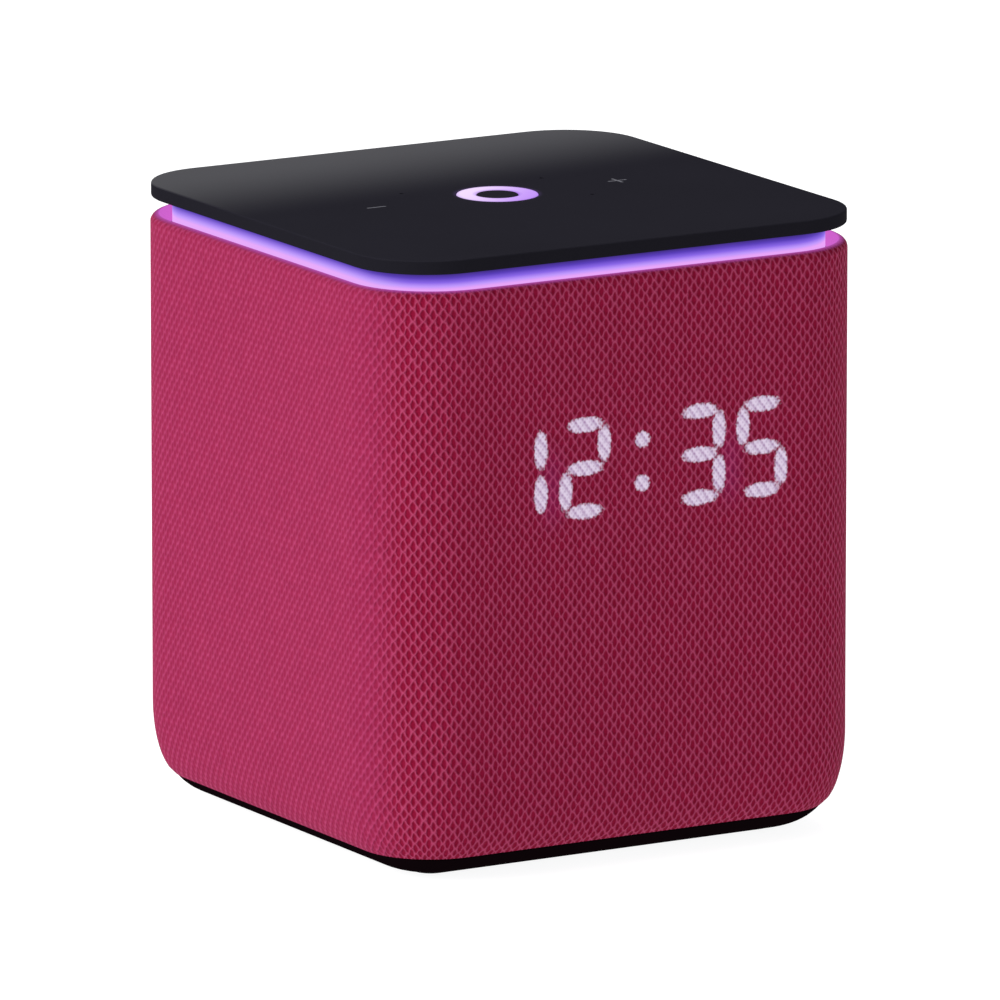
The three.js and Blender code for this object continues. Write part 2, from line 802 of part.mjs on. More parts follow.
// A flanged cone with six windows, which carries the magnet on its back plate.
function wooferBasket() {
  const wall = 1.5;
  const lip = wooferCutout - 1;
  const seat = coilRadius + 3.7;
  const backPlate = polePlateTop + gap;
  const body = turnedRing([
    [wooferRadius, 0],
    [wooferRadius, wooferFlange],
    [lip - wall, wooferFlange],
    [lip - wall, -4],
    [polePlateRadius + 0.6, spiderLevel - 0.9],
    [seat, spiderLevel - 0.9],
    [seat, backPlate],
    [magnetRadius, backPlate],
    [magnetRadius, spiderLevel - 1.9],
    [lip, -5],
    [lip, 0],
  ]);
  const windows = [0, 60, 120].map((degrees) => {
    const bar = block(3 * wooferRadius, 9, 7, 0, 0, polePlateTop / 2);
    return bar.rotateZ(THREE.MathUtils.degToRad(degrees));
  });
  return cut(body, ...windows, ...wooferScrewHoles(-1, wooferFlange + 1));
}

// A half-roll of even thickness between two radii, which rises from a level.
function halfRoll(inner, outer, level, rise, skin) {
  const middle = (inner + outer) / 2;
  const steps = 5;
  const upper = [];
  for (let step = 0; step <= steps; step += 1) {
    const angle = Math.PI * (1 - step / steps);
    upper.push([middle + ((outer - inner) / 2) * Math.cos(angle), level + skin + rise * Math.sin(angle)]);
  }
  const lower = upper.map(([radius, z]) => [radius, z - skin]).reverse();
  return turnedRing([...upper, ...lower]);
}

function wooferSurround() {
  return halfRoll(coneRadius + gap, wooferCutout, wooferFlange + gap, 2.6, 0.6);
}

function wooferCone() {
  const neck = coilRadius + gap;
  return turnedRing([
    [neck, neckLevel],
    [neck + 0.9, neckLevel],
    [coneRadius, 1.2],
    [coneRadius, 2.1],
    [coneRadius - 1.2, 2.1],
  ]);
}

// A thin dome between two quarter ellipses, from its rim to the axis.
function domeShell(radius, rise, wall, level, steps) {
  const quarter = (span, height) => {
    const points = [];
    for (let step = 0; step < steps; step += 1) {
      const angle = ((Math.PI / 2) * step) / steps;
      points.push([span * Math.cos(angle), level + height * Math.sin(angle)]);
    }
    return [...points, [0, level + height]];
  };
  return turned([...quarter(radius, rise).reverse(), ...quarter(radius - wall, rise - wall)]);
}

function wooferDustCap() {
  return domeShell(coilRadius + 1.3, 4, 0.7, neckLevel + 3.6, 3);
}

function wooferVoiceCoil() {
  return ring(coilRadius, coilRadius - coilWall, polePlateTop - 6.5, neckLevel + 0.6);
}

function wooferSpider() {
  const inner = coilRadius + gap;
  const outer = polePlateRadius - 0.6;
  const waves = 6;
  const upper = [];
  for (let step = 0; step <= waves; step += 1) {
    const height = step % 2 ? spiderWave : 0;
    upper.push([inner + ((outer - inner) * step) / waves, spiderLevel + height + spiderSkin]);
  }
  const lower = upper.map(([radius, z]) => [radius, z - spiderSkin]).reverse();
  return turnedRing([...upper, ...lower]);
}

function wooferPolePlate() {
  return ring(polePlateRadius, coilRadius + coilClearance, polePlateTop - polePlateThickness, polePlateTop);
}

function wooferMagnet() {
  return ring(magnetRadius, coilRadius + 1.8, magnetTop - magnetThickness, magnetTop);
}

function wooferYoke() {
  const pole = coilRadius - coilWall - coilClearance;
  return turned([
    [0, yokeTop - yokeThickness],
    [polePlateRadius, yokeTop - yokeThickness],
    [polePlateRadius, yokeTop],
    [pole, yokeTop],
    [pole, polePlateTop],
    [0, polePlateTop],
  ]);
}

// ---- Tweeters, drawn along +Z from the face, then aimed to the side ----

// A flanged cup with a stepped bore.
function tweeterHousing() {
  const mouth = tweeterDome + 1;
  const bore = tweeterDome + 1.8;
  const lip = -2.2;
  return turned([
    [0, -tweeterDepth],
    [bore + tweeterWall, -tweeterDepth],
    [bore + tweeterWall, lip],
    [tweeterRadius, lip],
    [tweeterRadius, 0],
    [mouth, 0],
    [mouth, lip],
    [bore, lip],
    [bore, tweeterWall - tweeterDepth],
    [0, tweeterWall - tweeterDepth],
  ]);
}

function tweeterDomePiece() {
  return domeShell(tweeterDome, 3, 0.4, -4, 3);
}

function tweeterMagnet() {
  return rod(tweeterDome, tweeterDepth - 7.5, 0, 0, tweeterWall - tweeterDepth + gap);
}

// ---- Passive radiator, drawn along +Z from the back of its frame, then aimed backward ----

const radiatorOrigin = new THREE.Vector3(0, enclosureBack + gap, radiatorHeight);

function radiatorFrameRing() {
  return ring(radiatorRadius, radiatorRadius - radiatorRim, 0, radiatorFrame);
}

function radiatorSurround() {
  return halfRoll(radiatorPlate + gap, radiatorRadius - 1, radiatorFrame + gap, 4, 0.8);
}

// A stiff disc with a weight on its inner side.
function radiatorPlatePiece() {
  const weight = 0.65 * radiatorPlate;
  return turned([
    [0, -4],
    [weight, -4],
    [weight, 0.5],
    [radiatorPlate, 0.5],
    [radiatorPlate, radiatorFrame + 1],
    [0, radiatorFrame + 1],
  ]);
}

// ---- Electronics ----

const boardTop = boardHeight + boardThickness;
const amplifierY = boardMiddle + 22;
const amplifierHeight = 1.3;

function mainBoard() {
  const board = plate(boardWidth, boardDepth, 3, boardHeight, boardTop).translate(0, boardMiddle, 0);
  const amplifierMiddle = boardTop + (amplifierHeight - bury) / 2;
  const amplifier = block(12, 12, amplifierHeight + bury, 0, amplifierY, amplifierMiddle);
  const inductors = [-26, 26].map((x) => block(10, 10, 6, x, amplifierY + 8, boardTop + 3 - bury));
  const capacitors = [-21, -12, -3].map((y) => rod(3.2, 9, 26, boardMiddle + y, boardTop - bury, smallSteps));
  const ribbonSocket = block(14, 5, 3.4, ribbonX, boardMiddle - boardDepth / 2 + 3, boardTop + 1.7 - bury);
  return join(board, amplifier, ribbonSocket, ...inductors, ...capacitors);
}

function shieldCan() {
  return block(28, 28, 3, -14, boardMiddle - 18, boardTop + gap + 1.5);
}

function heatSink() {
  const bottom = boardTop + amplifierHeight + gap;
  const width = 36;
  const depth = 26;
  const slab = 2.4;
  const finHeight = 8;
  const finMiddle = bottom + slab + (finHeight - bury) / 2;
  const fins = [];
  for (let i = -4; i <= 4; i += 1) {
    fins.push(block(1.2, depth, finHeight + bury, i * 4, amplifierY, finMiddle));
  }
  return join(block(width, depth, slab, 0, amplifierY, bottom + slab / 2), ...fins);
}

function antenna() {
  const y = rearInside - gap - antennaThickness / 2;
  return block(antennaWidth, antennaThickness, antennaTall, 0, y, enclosureTop + antennaRise);
}

function displayRibbon() {
  const x = ribbonX;
  const back = displayBack + 2 * gap;
  const level = boardHeight + boardThickness / 2;
  const start = boardMiddle - boardDepth / 2 - gap;
  const bend = [x, back + ribbonSpace, level - ribbonDrop];
  const edge = displayHeight + displayTall / 2 + displayBoardMargin;
  const path = [
    [x, start, level],
    [x, start - ribbonLead, level],
    bend,
    [x, back, edge - 1],
    [x, back, edge - ribbonTail],
  ];
  return strip(path, ribbonWidth, ribbonThickness, 10);
}

// ---- Rear connections ----

const rearBoardFace = enclosureBack + 2 * gap + boardThickness;
const rearFlangeFace = rearInside - gap;
const rearPartsFront = rearBoardFace + gap;
const rearPartsBack = rearFlangeFace - rearFlange - gap;
const muteSlotCentre = muteX + muteTravel / 2;

// The panel is a flange behind the shell with a face that fills the opening in shell and cloth.
function rearPanel() {
  const upright = (shape, depth, y) => new THREE.ExtrudeGeometry(shape, { depth, bevelEnabled: false })
    .rotateX(Math.PI / 2).translate(0, y, rearHeight);
  const flangeWidth = rearWidth + 2 * rearFlangeWidth;
  const flangeTall = rearTall + 2 * rearFlangeWidth - 1;
  const flange = upright(roundedShape(flangeWidth, flangeTall, rearCorner), rearFlange, rearFlangeFace);
  const face = roundedShape(rearWidth, rearTall, rearCorner);
  const proud = upright(face, rearPanelThickness + bury, rearFlangeFace + rearPanelThickness);
  const through = 8 * rearFlange;
  const plugWay = rod(plugHole, through, 0, 0, -through / 2);
  const slotWidth = muteKnob + muteTravel + 2 * gap;
  return cut(
    join(flange, proud),
    aim(plugWay, backward, new THREE.Vector3(inletX, rearFlangeFace, rearHeight)),
    block(slotWidth, through, muteKnob + 2 * gap, muteSlotCentre, rearFlangeFace, rearHeight),
  );
}

function rearBoard() {
  const middle = rearBoardFace - boardThickness / 2;
  return block(rearWidth - 2, boardThickness, rearTall - 1, 0, middle, rearHeight);
}

function inletSocket() {
  const length = rearPartsBack - rearPartsFront;
  const middle = rearPartsFront + length / 2;
  const body = block(inletBodyWidth, length, inletBodyTall, inletX, middle, rearHeight);
  const mouth = new THREE.Vector3(inletX, rearPartsBack, rearHeight);
  return cut(body, aim(ring(inletBore, inletPin, -inletDepth, 1, inletSteps), backward, mouth));
}

function muteSwitch() {
  const y = rearPartsFront + muteSwitchDepth / 2;
  return block(muteSwitchWidth, muteSwitchDepth, muteSwitchTall, muteSlotCentre, y, rearHeight);
}

function muteSlider() {
  const start = rearPartsFront + muteSwitchDepth + gap;
  const tip = rearFlangeFace + rearPanelThickness + gap;
  const depth = rearPartsBack - start;
  const carrier = block(muteCarrierWidth, depth, muteCarrierTall, muteX, start + depth / 2, rearHeight);
  const length = tip - rearPartsBack + bury;
  const knob = block(muteKnob, length, muteKnob, muteX, tip - length / 2, rearHeight);
  return join(carrier, knob);
}

function powerLead() {
  const side = radiatorRadius + 5;
  const behind = enclosureBack + 5;
  const path = new THREE.CatmullRomCurve3([
    new THREE.Vector3(rearWidth / 2 - 1 + slack, rearBoardFace + 0.9, rearHeight),
    new THREE.Vector3(side, behind, rearHeight + 4),
    new THREE.Vector3(side + 1, behind, radiatorHeight),
    new THREE.Vector3(side, behind, enclosureTop),
    new THREE.Vector3(side - 5, boardMiddle + boardDepth / 2 + 1.8, boardHeight + 1),
  ]);
  const section = new THREE.Shape();
  section.absarc(0, 0, leadRadius, 0, 2 * Math.PI, false);
  const options = { steps: 16, curveSegments: 4, extrudePath: path, bevelEnabled: false };
  return new THREE.ExtrudeGeometry(section, options);
}

// ---- The whole speaker ----

place('top_cover', topCover(), satinBlack);
place('ring_window', ringWindow(), lightPlastic);
place('window_cap', windowCap(), satinBlack);
place('light_guide', lightGuide(), lightPlastic);
place('band_light_board', bandLightBoard(), boardGreen);
place('top_frame', topFrame(), darkPlastic);
place('touch_board', touchBoard(), boardGreen);
topScrewPlaces().forEach(([x, y], index) => {
  const head = flangeTop + gap + screwHeadHeight;
  const geometry = screw(topScrewLength).rotateX(Math.PI).translate(x, y, head);
  place(`top_screw_${index + 1}`, geometry, steel);
});

place('fabric_sleeve', fabricSleeve(), clothRed);
place('outer_shell', outerShell(), darkPlastic);
place('base_plate', basePlate(), darkPlastic);
place('rubber_foot', rubberFoot(), rubber);
baseScrewPlaces().forEach(([x, y], index) => {
  const geometry = screw(baseScrewLength).translate(x, y, baseEdgeHeight + footRecess);
  place(`base_screw_${index + 1}`, geometry, steel);
});

place('display_diffuser', displayDiffuser(), lightPlastic);
place('display_mask', displayMask(), darkPlastic);
place('display_board', displayBoard(), boardGreen);

place('enclosure_front', enclosureFrontHalf(), darkPlastic);
place('enclosure_seal', enclosureSeal(), rubber);
place('enclosure_back', enclosureBackHalf(), darkPlastic);
place('damping_pad', dampingPad(), foam);

const wooferPieces = [
  ['woofer_gasket', wooferGasket(), rubber],
  ['woofer_basket', wooferBasket(), magnetGrey],
  ['woofer_surround', wooferSurround(), softRubber],
  ['woofer_cone', wooferCone(), conePaper],
  ['woofer_dust_cap', wooferDustCap(), conePaper],
  ['woofer_voice_coil', wooferVoiceCoil(), copper],
  ['woofer_spider', wooferSpider(), amberCloth],
  ['woofer_pole_plate', wooferPolePlate(), steel],
  ['woofer_magnet', wooferMagnet(), magnetGrey],
  ['woofer_yoke', wooferYoke(), steel],
];
for (const [name, geometry, material] of wooferPieces) {
  place(name, aim(geometry, forward, wooferOrigin), material);
}
wooferScrewPlaces().forEach(({ x, z }, index) => {
  const head = new THREE.Vector3(x, flangeBackY - wooferFlange - gap - screwHeadHeight, z);
  const geometry = aim(screw(wooferScrewLength, wooferScrewHead), backward, head);
  place(`woofer_screw_${index + 1}`, geometry, steel);
});

for (const [side, name] of [[-1, 'left'], [1, 'right']]) {
  const outward = new THREE.Vector3(side, 0, 0);
  const origin = new THREE.Vector3(side * (sideInside - gap), tweeterY, tweeterHeight);
  place(`${name}_tweeter_housing`, aim(tweeterHousing(), outward, origin), darkPlastic);
  place(`${name}_tweeter_dome`, aim(tweeterDomePiece(), outward, origin), silk);
  place(`${name}_tweeter_magnet`, aim(tweeterMagnet(), outward, origin), magnetGrey);
}

place('radiator_frame', aim(radiatorFrameRing(), backward, radiatorOrigin), darkPlastic);
place('radiator_surround', aim(radiatorSurround(), backward, radiatorOrigin), softRubber);
place('radiator_plate', aim(radiatorPlatePiece(), backward, radiatorOrigin), darkPlastic);

place('main_board', mainBoard(), boardGreen);
place('shield_can', shieldCan(), steel);
place('heat_sink', heatSink(), aluminium);
place('antenna', antenna(), copper);
place('display_ribbon', displayRibbon(), amberCloth);

place('rear_panel', rearPanel(), satinBlack);
place('rear_board', rearBoard(), boardGreen);
place('inlet_socket', inletSocket(), darkPlastic);
place('mute_switch', muteSwitch(), steel);
place('mute_slider', muteSlider(), satinBlack);
place('power_lead', powerLead(), rubber);

export default speaker;
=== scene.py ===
import math

import bmesh
import bpy
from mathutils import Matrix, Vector


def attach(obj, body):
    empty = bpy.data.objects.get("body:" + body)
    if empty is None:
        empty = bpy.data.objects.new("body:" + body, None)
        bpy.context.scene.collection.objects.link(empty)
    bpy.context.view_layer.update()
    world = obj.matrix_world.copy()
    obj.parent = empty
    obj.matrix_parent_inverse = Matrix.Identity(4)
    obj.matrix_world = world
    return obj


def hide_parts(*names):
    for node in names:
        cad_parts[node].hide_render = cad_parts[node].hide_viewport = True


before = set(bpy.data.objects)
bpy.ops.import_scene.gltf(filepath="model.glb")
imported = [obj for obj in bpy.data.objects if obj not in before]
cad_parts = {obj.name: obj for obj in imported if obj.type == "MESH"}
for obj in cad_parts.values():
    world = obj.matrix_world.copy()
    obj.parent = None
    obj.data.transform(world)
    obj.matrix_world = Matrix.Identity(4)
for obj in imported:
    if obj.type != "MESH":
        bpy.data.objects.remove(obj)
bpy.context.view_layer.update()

# Lengths are in millimetres, and MM turns them into the frame's metres.
# +Z is up, the front with the clock faces -Y, and the origin is the middle of the footprint.
MM = 0.001

BODY_HALF = 65.5
BODY_CORNER = 22.0
BODY_TOP = 148.0

CLOTH_THICKNESS = 1.2
CLOTH_FOOT = 6.4  # lower edge above the table
FOOT_START = 24.0  # where the wall begins to draw in towards the foot
FOOT_CURVE_TALL = 18.0  # half height of the ellipse that the foot follows
FOOT_INSET = 6.3
SHOULDER_START = 138.6  # where the wall begins to turn over at the lip
SHOULDER_RADIUS = 2.0
SHOULDER_END = SHOULDER_START + SHOULDER_RADIUS * math.pi / 2  # measured up the sleeve's profile
CLOTH_TOP_INSET = 4.8
SLOPE_DROP = 2.25  # from the cloth's lip down to its inner edge

STRAIGHT_HALF = BODY_HALF - BODY_CORNER
CORNER_ARC = BODY_CORNER * math.pi / 2
PERIMETER = 8 * STRAIGHT_HALF + 4 * CORNER_ARC
WEAVE_COLUMNS = 206
COLUMN_WIDE = PERIMETER / WEAVE_COLUMNS
WEAVE_ROW = 3.01
WEAVE_UV = "weave"
CELL_WIDE = 0.46
CELL_TALL = 1.1

COVER_HALF = 64.55
COVER_CORNER = 19.0
COVER_UNDERSIDE = 144.7
COVER_ROUND = 0.4
MICROPHONE_X = 19.0
MICROPHONE_Y = 11.7
MICROPHONE_HOLE = 0.6
MICROPHONES = ((-1, 1), (1, 1), (1, -1))  # which way each lies from the middle
TOUCH_MARK_X = 32.6
TOUCH_MARK_REACH = 2.5
TOUCH_MARK_WIDE = 0.3

WINDOW_RADIUS = 9.6
WINDOW_CAP = 4.95
WINDOW_RECESS = 5.25

BAND_BOTTOM = 140.3  # lowest part that shows over the cloth's lip
GUIDE_INSET = 5.2
GUIDE_WALL = 2.4
GUIDE_BOTTOM = 133.0
GUIDE_TOP = 144.4

BASE_INSET = 5.7
BASE_TOP = 6.1
BASE_UNDERSIDE = 0.8
BASE_BOTTOM_INSET = 15.7

REAR_HEIGHT = 31.0
REAR_WIDTH = 46.0
REAR_TALL = 17.0
REAR_CORNER = 4.0
REAR_FACE = 64.8
REAR_FLANGE = 61.5
REAR_PLATE = 58.5
REAR_PLATE_WIDTH = 52.0
INLET_X = -10.0
INLET_BORE = 3.15
PLUG_HOLE = 5.0
MUTE_X = 10.0
MUTE_SLOT_X = 11.0
MUTE_SLOT_WIDE = 6.0
MUTE_SLOT_TALL = 4.0
MUTE_KNOB = 3.4
MUTE_FLANGE = 7.0

THROUGH = 30.0  # a cutter this long goes right through any wall

# The clock shows a plain time. A digit is the set of its lit segments: a to f run clockwise from the top, and
# g is the middle one.
CLOCK_MIDDLE_X = 0.35
CLOCK_DIGITS = [(-32.3, "bc"), (-15.4, "abged"), (15.5, "abgcd"), (32.3, "afgcd")]
SEGMENTS = {
    "a": (0.0, 106.25, "flat"),
    "b": (5.15, 101.4, "upright"),
    "c": (5.15, 91.0, "upright"),
    "d": (0.0, 85.85, "flat"),
    "e": (-5.15, 91.0, "upright"),
    "f": (-5.15, 101.4, "upright"),
    "g": (0.0, 96.05, "flat"),
}
SEGMENT_HALF_WIDE = 1.66
FLAT_HALF_LONG = 4.3
UPRIGHT_HALF_LONG = 4.05
COLON_HEIGHTS = (101.2, 90.95)
COLON_RADIUS = 1.8
COLON_TO_PAIR = 24.0  # from the colon to the middle of each pair of digits
HAZE_HEIGHT = 92.0


# ---- Modelling ----


def leave_editing():
    """Closes the piece that is open for editing, if there is one."""
    if bpy.context.mode == "EDIT_MESH":
        bpy.ops.object.mode_set(mode="OBJECT")


def begin(name, add, **placing):
    """Adds a primitive as the start of a piece, puts its place into its mesh and opens it for editing."""
    leave_editing()
    bpy.ops.object.select_all(action="DESELECT")
    add(**placing)
    bpy.ops.object.transform_apply(location=True, rotation=True, scale=True)
    piece = bpy.context.object
    piece.name = name
    piece.data.name = name
    bpy.ops.object.mode_set(mode="EDIT")
    bpy.ops.mesh.select_all(action="SELECT")
    return piece


def select(piece, test, kind="FACE"):
    """Selects only the faces or edges whose middle, in millimetres, and normal or direction pass the test."""
    bpy.ops.mesh.select_mode(type=kind)
    bpy.ops.mesh.select_all(action="DESELECT")
    mesh = bmesh.from_edit_mesh(piece.data)
    if kind == "FACE":
        for face in mesh.faces:
            if test(face.calc_center_median() / MM, face.normal):
                face.select_set(True)
    else:
        for edge in mesh.edges:
            first, last = (vertex.co / MM for vertex in edge.verts)
            if test((first + last) / 2, last - first):
                edge.select_set(True)
    bmesh.update_edit_mesh(piece.data)


def step(inset, depth):
    """Draws the selected cap in, and moves it along its normal with new walls behind it."""
    bpy.ops.mesh.inset(thickness=inset * MM, depth=depth * MM, use_even_offset=True)


def follow(profile):
    """Takes the selected cap along points of (inset, height)."""
    for (inset, height), (next_inset, next_height) in zip(profile, profile[1:]):
        step(next_inset - inset, abs(next_height - height))


def round_over(radius, steps=4):
    """Rounds the rim of the selected cap, which moves out by the radius."""
    turn = math.pi / 2 / steps
    for i in range(steps):
        inset = radius * (math.cos(i * turn) - math.cos((i + 1) * turn))
        depth = radius * (math.sin((i + 1) * turn) - math.sin(i * turn))
        step(inset, depth)


def extrude(y=0.0, z=0.0):
    """Extrudes what is selected by a distance, and leaves the moved end selected."""
    bpy.ops.mesh.extrude_region_move(TRANSFORM_OT_translate={"value": (0, y * MM, z * MM)})


def begin_square(name, half, corner, height, corner_steps=12, side_steps=1):
    """Starts a piece as a flat face with the body's kind of outline: a square with rounded corners."""
    piece = begin(name, bpy.ops.mesh.primitive_plane_add, size=2 * half * MM, location=(0, 0, height * MM))
    bpy.ops.mesh.bevel(offset=corner * MM, segments=corner_steps, affect="VERTICES")
    if side_steps > 1:
        select(piece, lambda middle, along: along.length > half, "EDGE")
        bpy.ops.mesh.subdivide(number_cuts=side_steps - 1)
        bpy.ops.mesh.select_mode(type="FACE")
    bpy.ops.mesh.select_all(action="SELECT")
    return piece


def begin_rear(name, x, y, width, tall, corner, corner_steps=6):
    """Starts a piece on the rear panel's centre line as a rounded oblong that faces backwards."""
    piece = begin(
        name,
        bpy.ops.mesh.primitive_plane_add,
        size=tall * MM,
        location=(x * MM, y * MM, REAR_HEIGHT * MM),
        rotation=(-math.pi / 2, 0, 0),
    )
    centre = (x * MM, y * MM, REAR_HEIGHT * MM)
    bpy.ops.transform.resize(value=(width / tall, 1, 1), center_override=centre)
    bpy.ops.mesh.bevel(offset=corner * MM, segments=corner_steps, affect="VERTICES")
    bpy.ops.mesh.select_all(action="SELECT")
    return piece


def modify(piece, kind, **settings):
    """Adds a modifier and applies it."""
    leave_editing()
    bpy.ops.object.select_all(action="DESELECT")
    piece.select_set(True)
    bpy.context.view_layer.objects.active = piece
    modifier = piece.modifiers.new(kind.lower(), kind)
    for name, value in settings.items():
        setattr(modifier, name, value)
    bpy.ops.object.modifier_apply(modifier=modifier.name)


def cut(piece, cutters):
    """Cuts each cutter's shape out of the piece, and removes the cutter."""
    for cutter in cutters:
        modify(piece, "BOOLEAN", operation="DIFFERENCE", solver="EXACT", object=cutter)
        bpy.data.objects.remove(cutter, do_unlink=True)


def soften(piece, width):
    """Rounds the piece's sharp edges a little, as a mould leaves them."""
    sharp = math.radians(50)
    modify(piece, "BEVEL", width=width * MM, segments=2, limit_method="ANGLE", angle_limit=sharp)


def rod(radius, length, x, y, z, facets=48, backwards=False):
    """A round cutter with its middle at a point, upright or along Y."""
    turn = (math.pi / 2, 0, 0) if backwards else (0, 0, 0)
    cutter = begin(
        "cutter",
        bpy.ops.mesh.primitive_cylinder_add,
        vertices=facets,
        radius=radius * MM,
        depth=length * MM,
        location=(x * MM, y * MM, z * MM),
        rotation=turn,
    )
    leave_editing()
    return cutter


def rear_cutter(x, y, width, tall, corner, length, corner_steps=6):
    """An oblong cutter that runs backwards from a distance y."""
    cutter = begin_rear("cutter", x, y, width, tall, corner, corner_steps)
    extrude(y=length)
    leave_editing()
    return cutter


def complete(piece, finish, nodes=(), body="case"):
    """Gives a piece its finish and smooth shading, and joins it to the frame."""
    leave_editing()
    bpy.ops.object.select_all(action="DESELECT")
    piece.select_set(True)
    bpy.context.view_layer.objects.active = piece
    bpy.ops.object.shade_smooth_by_angle(angle=math.radians(35))
    piece.data.materials.clear()
    piece.data.materials.append(finish)
    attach(piece, body)
    if nodes:
        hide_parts(*nodes)


# ---- Materials ----


class Signal:
    """A socket of a finish's nodes that takes part in Python expressions. Each operation adds a Math node."""

    def __init__(self, finish, socket):
        self.finish = finish
        self.socket = socket

    def math(self, operation, *others):
        inputs = dict(enumerate((self, *others)))
        return self.finish.node("ShaderNodeMath", {"operation": operation}, inputs)

    def __add__(self, other):
        return self.math("ADD", other)

    def __radd__(self, other):
        return self.math("ADD", other)

    def __sub__(self, other):
        return self.math("SUBTRACT", other)

    def __rsub__(self, other):
        return self.finish.node("ShaderNodeMath", {"operation": "SUBTRACT"}, {0: other, 1: self})

    def __mul__(self, other):
        return self.math("MULTIPLY", other)

    def __rmul__(self, other):
        return self.math("MULTIPLY", other)

    def __truediv__(self, other):
        return self.math("DIVIDE", other)

    def __pow__(self, other):
        return self.math("POWER", other)

    def __abs__(self):
        return self.math("ABSOLUTE")

    def least(self, other):
        return self.math("MINIMUM", other)

    def most(self, other):
        return self.math("MAXIMUM", other)

    def floor(self):
        return self.math("FLOOR")

    def fraction(self):
        return self.math("FRACT")

    def sine(self):
        return self.math("SINE")

    def ramp(self, start, end):
        """0 at start and below, 1 at end, with a smooth turn between. Start may be above end."""
        settings = {"interpolation_type": "SMOOTHSTEP"}
        return self.finish.node("ShaderNodeMapRange", settings, {0: self, 1: start, 2: end})


class Finish:
    """A material that is being made: its nodes, and the surface shader they feed."""

    def __init__(self, name, **constants):
        self.material = bpy.data.materials.new(name)
        self.material.use_nodes = True
        self.tree = self.material.node_tree
        self.tree.nodes.clear()
        output = self.tree.nodes.new("ShaderNodeOutputMaterial")
        self.surface = self.tree.nodes.new("ShaderNodeBsdfPrincipled")
        self.tree.links.new(self.surface.outputs[0], output.inputs[0])
        for socket, value in constants.items():
            self.feed(self.surface.inputs[socket.replace("_", " ")], value)
        self.position = None

    def feed(self, socket, value):
        """Links a signal to a socket, or sets the socket's own value."""
        if isinstance(value, Signal):
            self.tree.links.new(value.socket, socket)
        elif isinstance(value, tuple) and len(socket.default_value) == 4:
            socket.default_value = (*value, 1.0)
        else:
            socket.default_value = value

    def node(self, kind, settings=None, inputs=None, output=0):
        """Adds a node of a kind with its settings, then its sockets' values or links. Returns one output."""
        node = self.tree.nodes.new(kind)
        for name, value in (settings or {}).items():
            if name == "stops":
                self.set_stops(node.color_ramp, value)
            else:
                setattr(node, name, value)
        for key, value in (inputs or {}).items():
            self.feed(node.inputs[key], value)
        return Signal(self, node.outputs[output])

    @staticmethod
    def set_stops(ramp, stops):
        """Gives a colour ramp its stops, each a position and a colour."""
        while len(ramp.elements) < len(stops):
            ramp.elements.new(1.0)
        for element, (position, colour) in zip(ramp.elements, stops):
            element.position = position
            element.color = (*colour, 1.0)

    def place(self):
        """The point on the object, in metres, as a vector."""
        if self.position is None:
            self.position = self.node("ShaderNodeTexCoord", output="Object")
        return self.position

    def parts(self, vector):
        """The three numbers of a vector."""
        split = self.node("ShaderNodeSeparateXYZ", inputs={0: vector})
        outputs = split.socket.node.outputs
        return [Signal(self, outputs[i]) for i in range(3)]

    def in_mm(self):
        """The point's x, y and z in millimetres."""
        return [part / MM for part in self.parts(self.place())]

    def vector(self, x, y, z):
        return self.node("ShaderNodeCombineXYZ", inputs={0: x, 1: y, 2: z})

    def mix(self, amount, first, second):
        """The first colour, turning into the second as the amount goes from 0 to 1."""
        inputs = {0: amount, 6: first, 7: second}
        return self.node("ShaderNodeMix", {"data_type": "RGBA"}, inputs, output=2)

    def noise(self, size, detail=2.0, roughness=0.5, vector=None):
        """Cloudy noise from 0 to 1 with features of a size in millimetres."""
        inputs = {
            "Vector": vector or self.place(),
            "Scale": 1 / (size * MM),
            "Detail": detail,
            "Roughness": roughness,
        }
        return self.node("ShaderNodeTexNoise", inputs=inputs)

    def chance(self, vector):
        """A number from 0 to 1 that differs from one whole-numbered pair of columns and rows to the next."""
        return self.node("ShaderNodeTexWhiteNoise", {"noise_dimensions": "2D"}, {"Vector": vector})

    def stretched(self, x, y, z):
        """The point with each direction scaled, for grain that runs one way."""
        inputs = {0: self.place(), 1: (x, y, z)}
        return self.node("ShaderNodeVectorMath", {"operation": "MULTIPLY"}, inputs)

    def bump(self, height, depth):
        """Feeds the normal with a height from 0 to 1 over a depth in millimetres."""
        inputs = {"Height": height, "Distance": depth * MM, "Strength": 1.0}
        self.feed(self.surface.inputs["Normal"], self.node("ShaderNodeBump", inputs=inputs))

    def colour(self, value):
        self.feed(self.surface.inputs["Base Color"], value)

    def roughness(self, value):
        self.feed(self.surface.inputs["Roughness"], value)

    def glow(self, value, strength=1.0):
        self.feed(self.surface.inputs["Emission Color"], value)
        self.surface.inputs["Emission Strength"].default_value = strength


def srgb(red, green, blue):
    """A display colour, 0 to 255 a channel, as scene-linear numbers."""

    def linear(channel):
        share = channel / 255
        return share / 12.92 if share <= 0.04045 else ((share + 0.055) / 1.055) ** 2.4

    return (linear(red), linear(green), linear(blue))


def moulded(name, dark, light, grain=0.35, low=0.42, high=0.55, depth=0.012, specular=0.5):
    """Moulded plastic or rubber: fine grain, a slow drift of tone, and a roughness that varies with both."""
    finish = Finish(name, Specular_IOR_Level=specular)
    fine = finish.noise(grain, detail=3.0)
    slow = finish.noise(28.0, detail=1.0)
    finish.colour(finish.mix(slow * 0.6 + fine * 0.4, dark, light))
    finish.roughness(low + (high - low) * (fine * 0.5 + slow * 0.5))
    finish.bump(fine, depth)
    return finish.material


